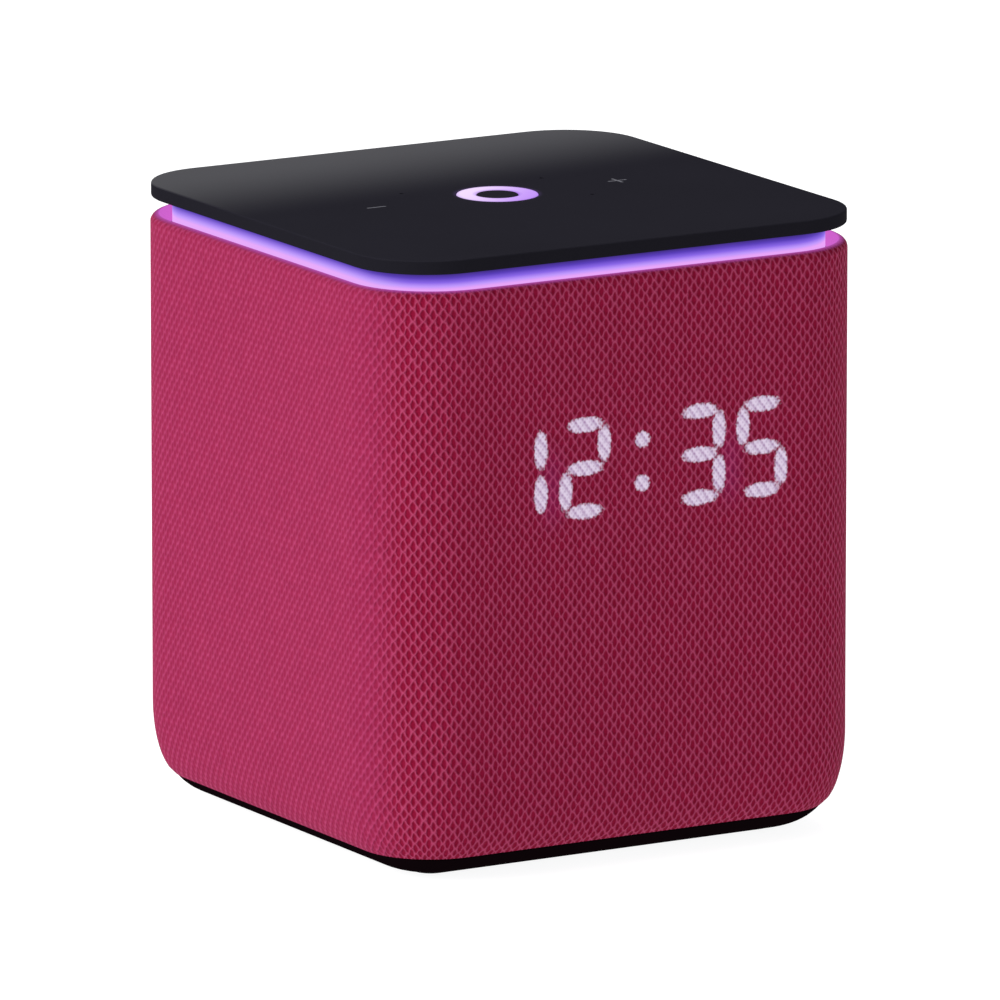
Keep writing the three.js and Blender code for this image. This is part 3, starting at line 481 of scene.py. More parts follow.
def printed_bar(along, across):
    """1 on a short printed line through the point where both distances are 0."""
    length = 1 - abs(along).ramp(TOUCH_MARK_REACH - 0.1, TOUCH_MARK_REACH + 0.1)
    width = 1 - abs(across).ramp(TOUCH_MARK_WIDE - 0.08, TOUCH_MARK_WIDE + 0.08)
    return length * width


def touch_cover():
    """The top cover's satin black, with painted shade that darkens its sides, a printed minus and plus and a
    faint glow round the ring.
    """
    finish = Finish("satin_black_cover", Specular_IOR_Level=0.0, Coat_Roughness=0.22)
    x, y, z = finish.in_mm()
    fine = finish.noise(0.25, detail=2.0)
    slow = finish.noise(40.0, detail=2.0)
    minus_and_plus = printed_bar(abs(x) - TOUCH_MARK_X, y).most(printed_bar(y, x - TOUCH_MARK_X))
    marks = minus_and_plus * z.ramp(BODY_TOP - 0.2, BODY_TOP - 0.1)
    black = finish.mix(slow * 0.7 + fine * 0.3, srgb(29, 28, 34), srgb(34, 33, 40))
    # Painted shade: the cover's sides take a darker copy of its black.
    painted_shade_side_black = finish.mix(fine, srgb(23, 22, 28), srgb(29, 28, 34))
    black = finish.mix(z.ramp(BODY_TOP - 0.1, BODY_TOP - 0.4), black, painted_shade_side_black)
    finish.colour(finish.mix(marks * 0.8, black, srgb(112, 112, 118)))
    finish.roughness(0.38 + 0.06 * fine + 0.05 * slow)
    polish = (y - x * 0.1).ramp(8.0, 62.0) * z.ramp(BODY_TOP - 0.3, BODY_TOP - 0.1)
    finish.feed(finish.surface.inputs["Coat Weight"], 0.01 + 0.56 * polish + 0.01 * fine)
    finish.bump(fine, 0.004)
    radius = (x * x + y * y) ** 0.5
    fade = (1 - radius.ramp(WINDOW_RADIUS, WINDOW_RADIUS + 1.6)) ** 2.0
    halo = fade * radius.ramp(WINDOW_RADIUS - 1.0, WINDOW_RADIUS)
    finish.glow(finish.mix(halo * 0.5, (0.0, 0.0, 0.0), srgb(60, 44, 84)))
    return finish.material


def ring_light():
    """The lit ring in the middle of the top: frosted, pinkish at the back left, violet at the front right."""
    finish = Finish("ring_light", Roughness=0.35)
    x, y, z = finish.in_mm()
    side = (x - y * 0.9).ramp(-12.0, 13.0)
    frost = finish.noise(0.5)
    lit = finish.mix(side, srgb(240, 216, 250), srgb(186, 132, 243))
    radius = (x * x + y * y) ** 0.5
    outer_rim = radius.ramp(WINDOW_RADIUS - 1.0, WINDOW_RADIUS + 0.1)
    rim = outer_rim.most(radius.ramp(WINDOW_RECESS + 0.9, WINDOW_RECESS))
    lit = finish.mix(rim * 0.35, lit, srgb(150, 98, 225))
    lit = finish.mix(frost * 0.12, lit, srgb(170, 120, 235))
    deep = z.ramp(BODY_TOP - 1.2, BODY_TOP - 0.1)
    finish.colour(finish.mix(frost, srgb(26, 20, 34), srgb(34, 27, 44)))
    finish.glow(finish.mix(deep, srgb(96, 50, 170), lit), 0.96)
    finish.bump(frost, 0.004)
    return finish.material


def band_light():
    """The light guide's glow, from pale pink at the cloth's lip to deep violet under the cover."""
    finish = Finish("band_light", Roughness=0.5, Specular_IOR_Level=0.05)
    x, y, z = finish.in_mm()
    rise = (z - BAND_BOTTOM) / (COVER_UNDERSIDE - BAND_BOTTOM)
    stops = [
        (0.0, srgb(236, 168, 248)),
        (0.17, srgb(194, 154, 254)),
        (0.38, srgb(136, 101, 230)),
        (0.6, srgb(85, 58, 182)),
        (0.82, srgb(49, 33, 112)),
        (1.0, srgb(30, 22, 66)),
    ]
    lit = finish.node("ShaderNodeValToRGB", {"stops": stops}, {0: rise})
    streak = finish.noise(9.0, detail=2.0)
    lit = finish.mix(streak * 0.12, lit, srgb(140, 96, 235))
    sides = (abs(x) - abs(y)).ramp(0.0, 12.0) * rise.ramp(0.7, 0.3)
    lit = finish.mix(sides * 0.16, lit, srgb(226, 196, 255))
    finish.colour(finish.mix(streak, srgb(8, 6, 16), srgb(12, 9, 22)))
    finish.glow(lit, 1.0)
    finish.bump(finish.noise(0.6), 0.006)
    return finish.material


def on_front(y):
    """1 on the front wall and 0 elsewhere."""
    return y.ramp(-BODY_HALF + 2.0, -BODY_HALF + 1.0)


def segment_reach(x, z, centre, name):
    """Up to 1 inside one lit segment of the clock and more outside, with rounded ends."""
    sideways, height, lie = SEGMENTS[name]
    half_x, half_z = FLAT_HALF_LONG, SEGMENT_HALF_WIDE
    if lie == "upright":
        half_x, half_z = SEGMENT_HALF_WIDE, UPRIGHT_HALF_LONG
    from_x = abs(x - (CLOCK_MIDDLE_X + centre + sideways)) / half_x
    from_z = abs(z - height) / half_z
    return from_x**2.2 + from_z**2.2


def clock_mask(x, y, z, ragged):
    """1 where the clock shines through the cloth of the front, with an edge that the weave makes ragged."""
    reaches = [segment_reach(x, z, centre, name) for centre, lit in CLOCK_DIGITS for name in lit]
    for height in COLON_HEIGHTS:
        from_x = (x - CLOCK_MIDDLE_X) / COLON_RADIUS
        from_z = (z - height) / COLON_RADIUS
        reaches.append(from_x * from_x + from_z * from_z)
    nearest = reaches[0]
    for reach in reaches[1:]:
        nearest = nearest.least(reach)
    return (nearest + ragged).ramp(1.6, 0.7) * on_front(y)


def clock_haze(x, y, z):
    """A faint glow in the cloth between the two digits of each pair."""
    sideways = abs(abs(x - CLOCK_MIDDLE_X) - COLON_TO_PAIR).ramp(5.0, 0.0)
    return sideways * abs(z - HAZE_HEIGHT).ramp(13.0, 2.0) * on_front(y)


def weave_cells(finish, rising, falling, from_rising_cell, from_falling_cell):
    """Small upright ovals between the threads, no two alike: a mask that is 1 inside, and each one's size."""
    right = (from_rising_cell + from_falling_cell) / 2
    up = (from_falling_cell - from_rising_cell) / 2
    number = finish.vector((rising + 0.5).floor(), (falling + 0.5).floor(), 0.0)
    size = finish.chance(number)
    oval = (right * (COLUMN_WIDE / CELL_WIDE)) ** 2.0 + (up * (WEAVE_ROW / CELL_TALL)) ** 2.0
    return (oval - size * 0.5).ramp(1.75, 0.1), size


def woven_cloth():
    """Raspberry cloth: two sets of slanting threads that cross over and under round small dark cells, with
    painted highlights, painted sheen, painted shade and a painted glow of the band's light.
    """
    finish = Finish(
        "raspberry_cloth",
        Sheen_Weight=0.03,
        Sheen_Roughness=0.4,
        Sheen_Tint=srgb(236, 150, 190),
        Specular_IOR_Level=0.04,
    )
    x, y, z = finish.in_mm()
    columns, rows, _ = finish.parts(finish.node("ShaderNodeUVMap", {"uv_map": WEAVE_UV}))
    waver = (finish.noise(7.0, detail=2.0) - 0.5) * 0.2
    shake = (finish.noise(1.6, detail=2.0) - 0.5) * 0.42
    tremble = (finish.noise(2.1, detail=2.0) - 0.5) * 0.42
    rising = columns - rows + waver + shake
    falling = columns + rows + waver + tremble

    # Each thread is 0 at its edges, where the cells lie, and 1 along its middle.
    from_rising_cell = (rising + 0.5).fraction() - 0.5
    from_falling_cell = (falling + 0.5).fraction() - 0.5
    on_rising = abs(from_rising_cell) * 2
    on_falling = abs(from_falling_cell) * 2
    rising_number = rising.floor()
    falling_number = falling.floor()
    over = ((rising_number + falling_number) * 0.5).fraction() * 2

    # On the sides the threads that rise to the right lie on top, and the others sink between them.
    side = (abs(x) - abs(y)).ramp(-2.0, 16.0)
    rising_height = on_rising.ramp(0.2, 0.95) * (0.76 + 0.24 * over)
    falling_height = on_falling.ramp(0.2, 0.95) * (1.0 - 0.24 * over) * (1 - side * 0.7)
    threads = rising_height.most(falling_height)
    crossing = (on_rising * on_falling).ramp(0.4, 0.95) * (1 - side * 0.5)

    cell, cell_size = weave_cells(finish, rising, falling, from_rising_cell, from_falling_cell)
    cell = cell * (1 - side * 0.55)

    fibre = finish.noise(0.32, detail=3.0, roughness=0.7)
    patch = finish.noise(16.0, detail=3.0)
    thread_number = finish.vector(rising_number, falling_number, 0.0)
    thread_tone = finish.chance(thread_number)
    tone = 0.4 * fibre + 0.3 * patch + 0.3 * thread_tone
    # Painted highlight: on the front each thread is lighter along its middle.
    painted_crest_highlight = on_rising.ramp(0.55, 1.0).most(on_falling.ramp(0.55, 1.0)) * (1 - side)
    thread_colour = finish.mix(tone, srgb(130, 26, 60), srgb(166, 56, 94))
    thread_colour = finish.mix(painted_crest_highlight * 0.4, thread_colour, srgb(178, 76, 108))
    # Painted sheen: the threads on the sides are lighter and pinker.
    thread_colour = finish.mix(side * 0.35, thread_colour, srgb(174, 66, 112))
    # Painted highlight: the threads are lighter where they cross.
    thread_colour = finish.mix(crossing * 0.15, thread_colour, srgb(180, 76, 114))
    # Painted shade: on the sides the sunk threads and bands across the rows turn darker.
    row_shade = (rows * (4 * math.pi) - math.pi / 2).sine() * 0.5 + 0.5
    painted_sunk_shade = side * ((1 - rising_height) * 0.42 + row_shade * 0.16)
    thread_colour = finish.mix(painted_sunk_shade, thread_colour, srgb(128, 22, 60))
    cell_colour = finish.mix(fibre * 0.5 + cell_size * 0.5, srgb(108, 2, 29), srgb(132, 12, 48))
    cloth_colour = finish.mix(cell * 0.95, thread_colour, cell_colour)

    # The clock's light picks out the yarn, and the yarn breaks up the digits' edges.
    grain_across = ((columns - rows) * (4 * math.pi)).sine() * 0.5 + 0.5
    grain_along = ((columns + rows) * (4 * math.pi)).sine() * 0.5 + 0.5
    grain = grain_across * grain_along
    ragged = (finish.noise(0.9, detail=1.0) - 0.5) * 1.3 + grain * 0.25
    clock = clock_mask(x, y, z, ragged)
    thread_edges = on_falling.ramp(0.6, 0.05) * 0.5 + on_rising.ramp(0.4, 0.0) * 0.2
    shade_line = grain.ramp(0.12, 0.8) * 0.3 + thread_edges
    clock_colour = finish.mix(shade_line, srgb(118, 108, 120), srgb(86, 66, 88))

    # Painted shade darkens the cloth's own colour at the lip, under the cover's edge, and the lip and the
    # slope behind it get a painted glow of the band's light.
    up_profile = rows * WEAVE_ROW
    lip = up_profile.ramp(SHOULDER_END - 1.7, SHOULDER_END - 0.2)
    slope = up_profile.ramp(SHOULDER_END - 0.6, SHOULDER_END + 0.2)
    # Painted shade at the lip.
    cloth_colour = finish.mix(lip * 0.85, cloth_colour, srgb(60, 26, 58))
    finish.colour(finish.mix(clock * 0.9, cloth_colour, clock_colour))
    shine = finish.mix(shade_line, srgb(196, 186, 206), srgb(140, 112, 150))
    # Painted glow of the band's light on the slope and the lip.
    painted_slope_glow = finish.mix(fibre * 0.5 + patch * 0.5, srgb(192, 84, 190), srgb(212, 108, 212))
    glow = finish.mix(clock_haze(x, y, z) * 0.5, (0.0, 0.0, 0.0), srgb(56, 20, 66))
    glow = finish.mix(lip * (1 - slope) * 0.9, glow, srgb(172, 72, 156))
    glow = finish.mix(slope, glow, painted_slope_glow)
    finish.glow(finish.mix(clock, glow, shine), 1.0)
    finish.roughness(0.78 + 0.16 * fibre)
    finish.bump(threads * 0.85 + crossing * 0.1 + fibre * 0.14 - cell * 0.2, 0.3)
    return finish.material


def sheet_metal(name, dark, light, low=0.28, high=0.5):
    """Stamped or turned metal: fine lines along X, a cloudy surface, and rubbed, brighter patches."""
    finish = Finish(name, Metallic=1.0)
    lines = finish.noise(0.5, detail=3.0, vector=finish.stretched(0.08, 1.0, 1.0))
    cloud = finish.noise(6.0, detail=3.0)
    finish.colour(finish.mix(lines * 0.5 + cloud * 0.5, dark, light))
    finish.roughness(low + (high - low) * (cloud * 0.6 + lines * 0.4))
    finish.bump(lines, 0.01)
    return finish.material


def ferrite():
    """Sintered magnet: charcoal with pale specks and a chalky surface."""
    finish = Finish("sintered_magnet", Specular_IOR_Level=0.4)
    specks = finish.noise(0.35, detail=4.0, roughness=0.8)
    cloud = finish.noise(7.0, detail=2.0)
    grey = finish.mix(cloud, srgb(40, 40, 43), srgb(60, 60, 64))
    finish.colour(finish.mix(specks.ramp(0.62, 0.74), grey, srgb(112, 112, 116)))
    finish.roughness(0.6 + 0.25 * specks)
    finish.bump(specks, 0.03)
    return finish.material


def board():
    """Printed circuit board: solder mask over tracks, with tinned pads."""
    finish = Finish("solder_mask")
    x, y, z = finish.in_mm()
    upright = finish.vector(x + y * 0.5, z + y * 0.5, 0.0)
    tracks = finish.node(
        "ShaderNodeTexBrick",
        {"offset": 0.5},
        {"Vector": upright, "Scale": 0.35, "Mortar Size": 0.06, "Mortar Smooth": 0.2},
        output="Fac",
    )
    pads = finish.node("ShaderNodeTexVoronoi", {"feature": "F1"}, {"Vector": upright, "Scale": 0.42})
    pad = pads.ramp(0.16, 0.12)
    fibre = finish.noise(0.6, detail=3.0)
    green = finish.mix(fibre, srgb(8, 52, 30), srgb(14, 72, 42))
    green = finish.mix(tracks * 0.6, green, srgb(26, 100, 58))
    finish.colour(finish.mix(pad, green, srgb(196, 190, 176)))
    finish.feed(finish.surface.inputs["Metallic"], pad)
    finish.roughness(0.42 - 0.12 * pad + 0.1 * fibre)
    finish.bump(tracks * 0.5 + pad * 0.5, 0.02)
    return finish.material


def cone_paper():
    """Pressed pulp: short fibres that lie every way in a charcoal sheet."""
    finish = Finish("pressed_pulp", Specular_IOR_Level=0.25, Sheen_Weight=0.1)
    fibres = finish.noise(0.7, detail=4.0, roughness=0.75, vector=finish.stretched(1.0, 0.3, 2.2))
    cross = finish.noise(0.9, detail=4.0, roughness=0.75, vector=finish.stretched(2.4, 0.3, 0.9))
    pulp = fibres.most(cross)
    finish.colour(finish.mix(pulp.ramp(0.35, 0.75), srgb(30, 30, 32), srgb(66, 66, 68)))
    finish.roughness(0.7 + 0.2 * pulp)
    finish.bump(pulp, 0.05)
    return finish.material


def enamelled_copper():
    """Wire turns side by side, in enamelled copper."""
    finish = Finish("enamelled_copper", Roughness=0.32, Metallic=0.9)
    wire = 0.28
    _, y, _ = finish.in_mm()
    turns = (y * (2 * math.pi / wire)).sine() * 0.5 + 0.5
    tone = finish.noise(2.0)
    finish.colour(finish.mix(turns * 0.7 + tone * 0.3, srgb(110, 48, 20), srgb(206, 118, 70)))
    finish.bump(turns, 0.08)
    return finish.material


def open_foam():
    """Open-cell damping foam: dark pores between pale walls."""
    finish = Finish("open_foam", Sheen_Weight=0.15, Specular_IOR_Level=0.2)
    inputs = {"Vector": finish.place(), "Scale": 1 / (1.1 * MM)}
    pores = finish.node("ShaderNodeTexVoronoi", {"feature": "F1"}, inputs).ramp(0.1, 0.65)
    tone = finish.noise(9.0)
    wall = finish.mix(tone, srgb(78, 80, 86), srgb(100, 102, 108))
    finish.colour(finish.mix(pores, srgb(26, 27, 30), wall))
    finish.roughness(0.85 + 0.1 * pores)
    finish.bump(pores, 0.25)
    return finish.material


def coated_weave(name, dark, light, pitch, ridges=0.0):
    """Plain-woven dome silk or spider cloth under a thin coat, with or without cloudy unevenness added to its
    bumps.
    """
    finish = Finish(name, Specular_IOR_Level=0.35)
    x, y, z = finish.in_mm()
    warp = ((x + y) * (2 * math.pi / pitch)).sine() * 0.5 + 0.5
    weft = (z * (2 * math.pi / pitch)).sine() * 0.5 + 0.5
    weave = warp * (1 - weft) + weft * (1 - warp)
    tone = finish.noise(3.0, detail=2.0)
    finish.colour(finish.mix(weave * 0.6 + tone * 0.4, dark, light))
    finish.roughness(0.45 + 0.25 * weave)
    finish.bump(weave + tone * ridges, 0.04)
    return finish.material


def inner_diffuser():
    """The frosted sheet behind the cloth of the clock, lit from behind."""
    finish = Finish("frosted_diffuser", Roughness=0.5)
    frost = finish.noise(0.4, detail=3.0)
    finish.colour(finish.mix(frost, srgb(224, 218, 230), srgb(244, 240, 248)))
    finish.glow(finish.mix(frost, srgb(120, 100, 140), srgb(150, 130, 170)), 0.4)
    finish.bump(frost, 0.01)
    return finish.material


def floor_white():
    """The pale table: almost even, with the faintest mottle."""
    finish = Finish("pale_table", Roughness=0.9, Specular_IOR_Level=0.1)
    mottle = finish.noise(60.0, detail=2.0)
    finish.colour(finish.mix(mottle, (0.28, 0.28, 0.282), (0.30, 0.30, 0.302)))
    finish.glow(finish.mix(mottle, (0.91, 0.91, 0.915), (0.93, 0.93, 0.935)), 1.0)
    return finish.material


FINISHES = {
    "satin_cover": moulded("satin_black", srgb(26, 26, 30), srgb(38, 38, 43)),
    "dark_plastic": moulded("matt_black", srgb(16, 16, 18), srgb(27, 27, 30), low=0.55, high=0.7, depth=0.02),
    "cloth": woven_cloth(),
    "light_diffuser": inner_diffuser(),
    "rubber": moulded(
        "foot_rubber", srgb(12, 12, 13), srgb(22, 22, 23), grain=0.5, low=0.75, high=0.9, depth=0.04
    ),
    "soft_rubber": moulded(
        "surround_rubber", srgb(18, 18, 19), srgb(30, 30, 32), grain=0.8, low=0.5, high=0.62
    ),
    "steel": sheet_metal("zinc_plated_steel", srgb(150, 154, 160), srgb(190, 194, 198)),
    "aluminium": sheet_metal(
        "extruded_aluminium", srgb(176, 180, 184), srgb(210, 212, 216), low=0.3, high=0.42
    ),
    "magnet": ferrite(),
    "circuit_board": board(),
    "cone_paper": cone_paper(),
    "copper": enamelled_copper(),
    "foam": open_foam(),
    "silk": coated_weave("dome_silk", srgb(34, 34, 40), srgb(66, 66, 74), 0.3),
    "amber_film": coated_weave("resin_cloth", srgb(140, 96, 28), srgb(206, 160, 74), 0.7, ridges=0.6),
}
BASE_FINISH = moulded(
    "base_black", srgb(9, 4, 6), srgb(15, 7, 10), grain=0.5, low=0.6, high=0.75, depth=0.015, specular=0.0
)
COVER_FINISH = touch_cover()
RING_FINISH = ring_light()
BAND_FINISH = band_light()


# ---- Cloth sleeve ----


def foot_profile(steps):
    """Points of (inset, height) down the foot's curve, a part of an ellipse."""
    points = []
    for i in range(steps + 1):
        height = FOOT_START + (CLOTH_FOOT - FOOT_START) * i / steps
        drop = (FOOT_START - height) / FOOT_CURVE_TALL
        points.append((FOOT_INSET * (1 - math.sqrt(1 - drop**2)), height))
    return points


FOOT_PROFILE = foot_profile(12)


def along_profile(height, inset):
    """Distance up the sleeve's profile to a point on it, which is the point's height on the flat wall."""
    if inset > SHOULDER_RADIUS and height > FOOT_START:
        slant = math.hypot(1.0, SLOPE_DROP / (CLOTH_TOP_INSET - SHOULDER_RADIUS))
        return SHOULDER_END + slant * (inset - SHOULDER_RADIUS)
    if height > SHOULDER_START:
        return SHOULDER_START + SHOULDER_RADIUS * math.atan2(height - SHOULDER_START, SHOULDER_RADIUS - inset)
    travelled = 0.0
    for (inset_above, above), (inset_below, below) in zip(FOOT_PROFILE, FOOT_PROFILE[1:]):
        if height >= above:
            break
        share = min(1.0, (above - height) / (above - below))
        travelled += share * math.hypot(above - below, inset_below - inset_above)
    return FOOT_START - travelled if height < FOOT_START else height


def round_outline(x, y):
    """Distance round the outline to a point, from the front's middle towards +X, and the point's inset."""
    quarter = round(math.atan2(y, x) / (math.pi / 2))
    turn = -quarter * math.pi / 2
    turned_x = x * math.cos(turn) - y * math.sin(turn)
    turned_y = x * math.sin(turn) + y * math.cos(turn)
    side_middle = (quarter + 1) * (2 * STRAIGHT_HALF + CORNER_ARC)
    if abs(turned_y) <= STRAIGHT_HALF:
        return side_middle + turned_y, BODY_HALF - turned_x
    past = math.atan2(abs(turned_y) - STRAIGHT_HALF, turned_x - STRAIGHT_HALF)
    reach = math.hypot(abs(turned_y) - STRAIGHT_HALF, turned_x - STRAIGHT_HALF)
    return side_middle + math.copysign(STRAIGHT_HALF + BODY_CORNER * past, turned_y), BODY_CORNER - reach


def unroll(piece):
    """Gives the sleeve its weave map: columns round the body and rows up the profile."""
    mesh = piece.data
    layer = mesh.uv_layers.new(name=WEAVE_UV)
    for face in mesh.polygons:
        middle, _ = round_outline(face.center.x / MM, face.center.y / MM)
        for loop in face.loop_indices:
            point = mesh.vertices[mesh.loops[loop].vertex_index].co / MM
            distance, inset = round_outline(point.x, point.y)
            distance += PERIMETER * round((middle - distance) / PERIMETER)
            rise = along_profile(point.z, inset)
            layer.data[loop].uv = (distance * WEAVE_COLUMNS / PERIMETER, rise / WEAVE_ROW)


def make_sleeve():
    """The cloth round the body: drawn in at the foot, turned over at the lip and open at the rear panel."""
    sleeve = begin_square("cloth_sleeve", BODY_HALF, BODY_CORNER, FOOT_START, corner_steps=14, side_steps=14)
    wall_steps = 14
    rise = (SHOULDER_START - FOOT_START) / wall_steps
    extrude(z=rise)
    for _ in range(wall_steps - 1):
        step(0, rise)
    round_over(SHOULDER_RADIUS, steps=8)
    step(CLOTH_TOP_INSET - SHOULDER_RADIUS, -SLOPE_DROP)
    bpy.ops.mesh.delete(type="FACE")
    select(sleeve, lambda middle, normal: middle.z < FOOT_START + 0.1 and abs(normal.z) > 0.9)
    follow(FOOT_PROFILE)
    bpy.ops.mesh.delete(type="FACE")
    leave_editing()
    unroll(sleeve)
    modify(sleeve, "SOLIDIFY", thickness=CLOTH_THICKNESS * MM, offset=-1, use_even_offset=True)
    gap = 0.3
    opening = rear_cutter(0, 40, REAR_WIDTH + 2 * gap, REAR_TALL + 2 * gap, REAR_CORNER + gap, THROUGH)
    cut(sleeve, [opening])
    complete(sleeve, FINISHES["cloth"], ["fabric_sleeve"])


# ---- Top ----


def make_cover():
    """The top plate, with rounded edges, a round hole for the lit ring and the microphones' holes."""
    lowest = COVER_UNDERSIDE + COVER_ROUND
    cover = begin_square("top_cover_plate", COVER_HALF, COVER_CORNER, lowest, side_steps=4)
    extrude(z=BODY_TOP - COVER_UNDERSIDE - 2 * COVER_ROUND)
    round_over(COVER_ROUND)
    select(cover, lambda middle, normal: normal.z < -0.9)
    round_over(COVER_ROUND)
    gap = 0.15
    holes = [rod(WINDOW_RADIUS + gap, THROUGH, 0, 0, BODY_TOP, facets=96)]
    for side, end in MICROPHONES:
        x = side * MICROPHONE_X
        y = end * MICROPHONE_Y
        holes.append(rod(MICROPHONE_HOLE, THROUGH, x, y, BODY_TOP, facets=24))
    cut(cover, holes)
    soften(cover, 0.08)
    complete(cover, COVER_FINISH, ["top_cover"])
    modify(cover, "WEIGHTED_NORMAL", keep_sharp=True)


def make_ring():
    """The frosted ring: a flange under the cover, a boss that fills its hole and a well for the cap."""
    flange = 2.0
    flange_tall = 3.0
    flange_middle = 142.9
    rounding = 0.25
    chamfer = 0.12
    well = 1.5
    top = BODY_TOP - 0.02
    window = begin(
        "ring_light_window",
        bpy.ops.mesh.primitive_cylinder_add,
        vertices=96,
        radius=(WINDOW_RADIUS + flange) * MM,
        depth=flange_tall * MM,
        location=(0, 0, flange_middle * MM),
    )
    select(window, lambda middle, normal: normal.z > 0.9)
    step(flange, 0)
    step(0, top - rounding - flange_middle - flange_tall / 2)
    round_over(rounding)
    step(WINDOW_RADIUS - rounding - WINDOW_RECESS - chamfer, 0)
    step(chamfer, -chamfer)
    step(0, -well)
    complete(window, RING_FINISH, ["ring_window"])


def make_cap():
    """The dark disc in the middle of the ring, dished a little."""
    thickness = 1.0
    rounding = 0.3
    dish_edge = 1.2
    dish_deep = 0.08
    cap = begin(
        "ring_centre_cap",
        bpy.ops.mesh.primitive_cylinder_add,
        vertices=64,
        radius=WINDOW_CAP * MM,
        depth=thickness * MM,
        location=(0, 0, 147.15 * MM),
    )
    select(cap, lambda middle, normal: normal.z > 0.9)
    round_over(rounding)
    step(0.5, 0)
    step(dish_edge, -dish_deep)
    complete(cap, COVER_FINISH, ["window_cap"])


def make_guide():
    """The wall of light between the cloth's lip and the cover."""
    half = BODY_HALF - GUIDE_INSET
    corner = BODY_CORNER - GUIDE_INSET
    guide = begin_square("band_light_guide", half, corner, GUIDE_BOTTOM, side_steps=6)
    extrude(z=GUIDE_TOP - GUIDE_BOTTOM)
    select(guide, lambda middle, normal: abs(normal.z) > 0.9)
    bpy.ops.mesh.delete(type="FACE")
    modify(guide, "SOLIDIFY", thickness=GUIDE_WALL * MM, offset=-1, use_even_offset=True)
    complete(guide, BAND_FINISH, ["light_guide"])


# ---- Base ----


def dish_curve(start, pull, end, steps):
    """Points of (inset, height) along a curve from start to end, bent towards a third point."""
    points = []
    for i in range(steps + 1):
        t = i / steps
        first, middle, last = (1 - t) ** 2, 2 * t * (1 - t), t**2
        points.append(tuple(first * a + middle * b + last * c for a, b, c in zip(start, pull, end)))
    return points


def make_base():
    """The black dish under the cloth, whose edge curves in to the foot."""
    lip = 0.3
    ledge = 4.3
    core_rise = 4.6
    recess = 1.0
    edge = (BASE_INSET, BASE_TOP - lip)
    pull = (9.0, 1.9)
    underside = (BASE_BOTTOM_INSET, BASE_UNDERSIDE)
    base = begin_square("base_dish", BODY_HALF - BASE_INSET, BODY_CORNER - BASE_INSET, BASE_TOP - lip)
    extrude(z=lip)
    step(ledge, 0)
    step(0, core_rise)
    select(base, lambda middle, normal: normal.z < -0.9 and middle.z < BASE_TOP)
    follow(dish_curve(edge, pull, underside, steps=10))
    step(1.5, 0)
    step(0.4, -recess)
    complete(base, BASE_FINISH, ["base_plate"])


def make_foot():
    """The rubber pad in the dish's recess, with a shallow groove round its underside."""
    half = 48.0
    corner = 4.5
    rounding = 0.4
    thickness = 1.5
    groove = 0.8
    groove_deep = 0.3
    foot = begin_square("foot_pad", half, corner, rounding, corner_steps=8)
    extrude(z=thickness - rounding)
    select(foot, lambda middle, normal: normal.z < -0.9)
    round_over(rounding)
    step(1.2, 0)
    step(groove_deep, -groove_deep)
    step(groove, 0)
    step(groove_deep, groove_deep)
    complete(foot, FINISHES["rubber"], ["rubber_foot"])


# ---- Rear ----


def narrow(share, x, y):
    """Scales what is selected along X about a point on the rear panel's centre line."""
    bpy.ops.transform.resize(value=(share, 1, 1), center_override=(x * MM, y * MM, REAR_HEIGHT * MM))


def make_panel():
    """The rear panel: a plate behind the cloth and a raised face with the plug's hole and the mute slot."""
    margin = 2.5
    rounding = 0.5
    tall = REAR_TALL + 2 * margin
    panel = begin_rear("rear_panel_plate", 0, REAR_PLATE, REAR_PLATE_WIDTH, tall, REAR_CORNER + margin)
    extrude(y=REAR_FLANGE - REAR_PLATE)
    step(margin, 0)
    narrow(REAR_WIDTH / (REAR_PLATE_WIDTH - 2 * margin), 0, REAR_FLANGE)
    step(0, REAR_FACE - REAR_FLANGE - rounding)
    round_over(rounding)
    plug_hole = rod(PLUG_HOLE, THROUGH, INLET_X, REAR_FACE, REAR_HEIGHT, facets=64, backwards=True)
    slot = rear_cutter(MUTE_SLOT_X, 50, MUTE_SLOT_WIDE, MUTE_SLOT_TALL, 0.6, THROUGH)
    cut(panel, [plug_hole, slot])
    soften(panel, 0.25)
    complete(panel, FINISHES["satin_cover"], ["rear_panel"])
    modify(panel, "WEIGHTED_NORMAL", keep_sharp=True)


def make_inlet():
    """The barrel inlet behind the plug's hole: a square shell with a bore, and the pin in its middle."""
    shell_start = 48.5
    shell_long = 9.3
    shell_rounding = 0.4
    mouth = shell_start + shell_long + shell_rounding
    socket = begin_rear("inlet_socket_shell", INLET_X, shell_start, 10.0, 11.0, 1.0, corner_steps=4)
    extrude(y=shell_long)
    round_over(shell_rounding)
    cut(socket, [rod(INLET_BORE, 18, INLET_X, mouth, REAR_HEIGHT, facets=48, backwards=True)])
    soften(socket, 0.2)
    complete(socket, FINISHES["dark_plastic"], ["inlet_socket"])

    pin_long = 7.4
    pin_middle = 52.9
    pin = begin(
        "inlet_socket_pin",
        bpy.ops.mesh.primitive_cylinder_add,
        vertices=24,
        radius=1.0 * MM,
        depth=pin_long * MM,
        location=(INLET_X * MM, pin_middle * MM, REAR_HEIGHT * MM),
        rotation=(math.pi / 2, 0, 0),
    )
    select(pin, lambda middle, normal: normal.y > 0.9)
    round_over(0.6)
    complete(pin, FINISHES["steel"])


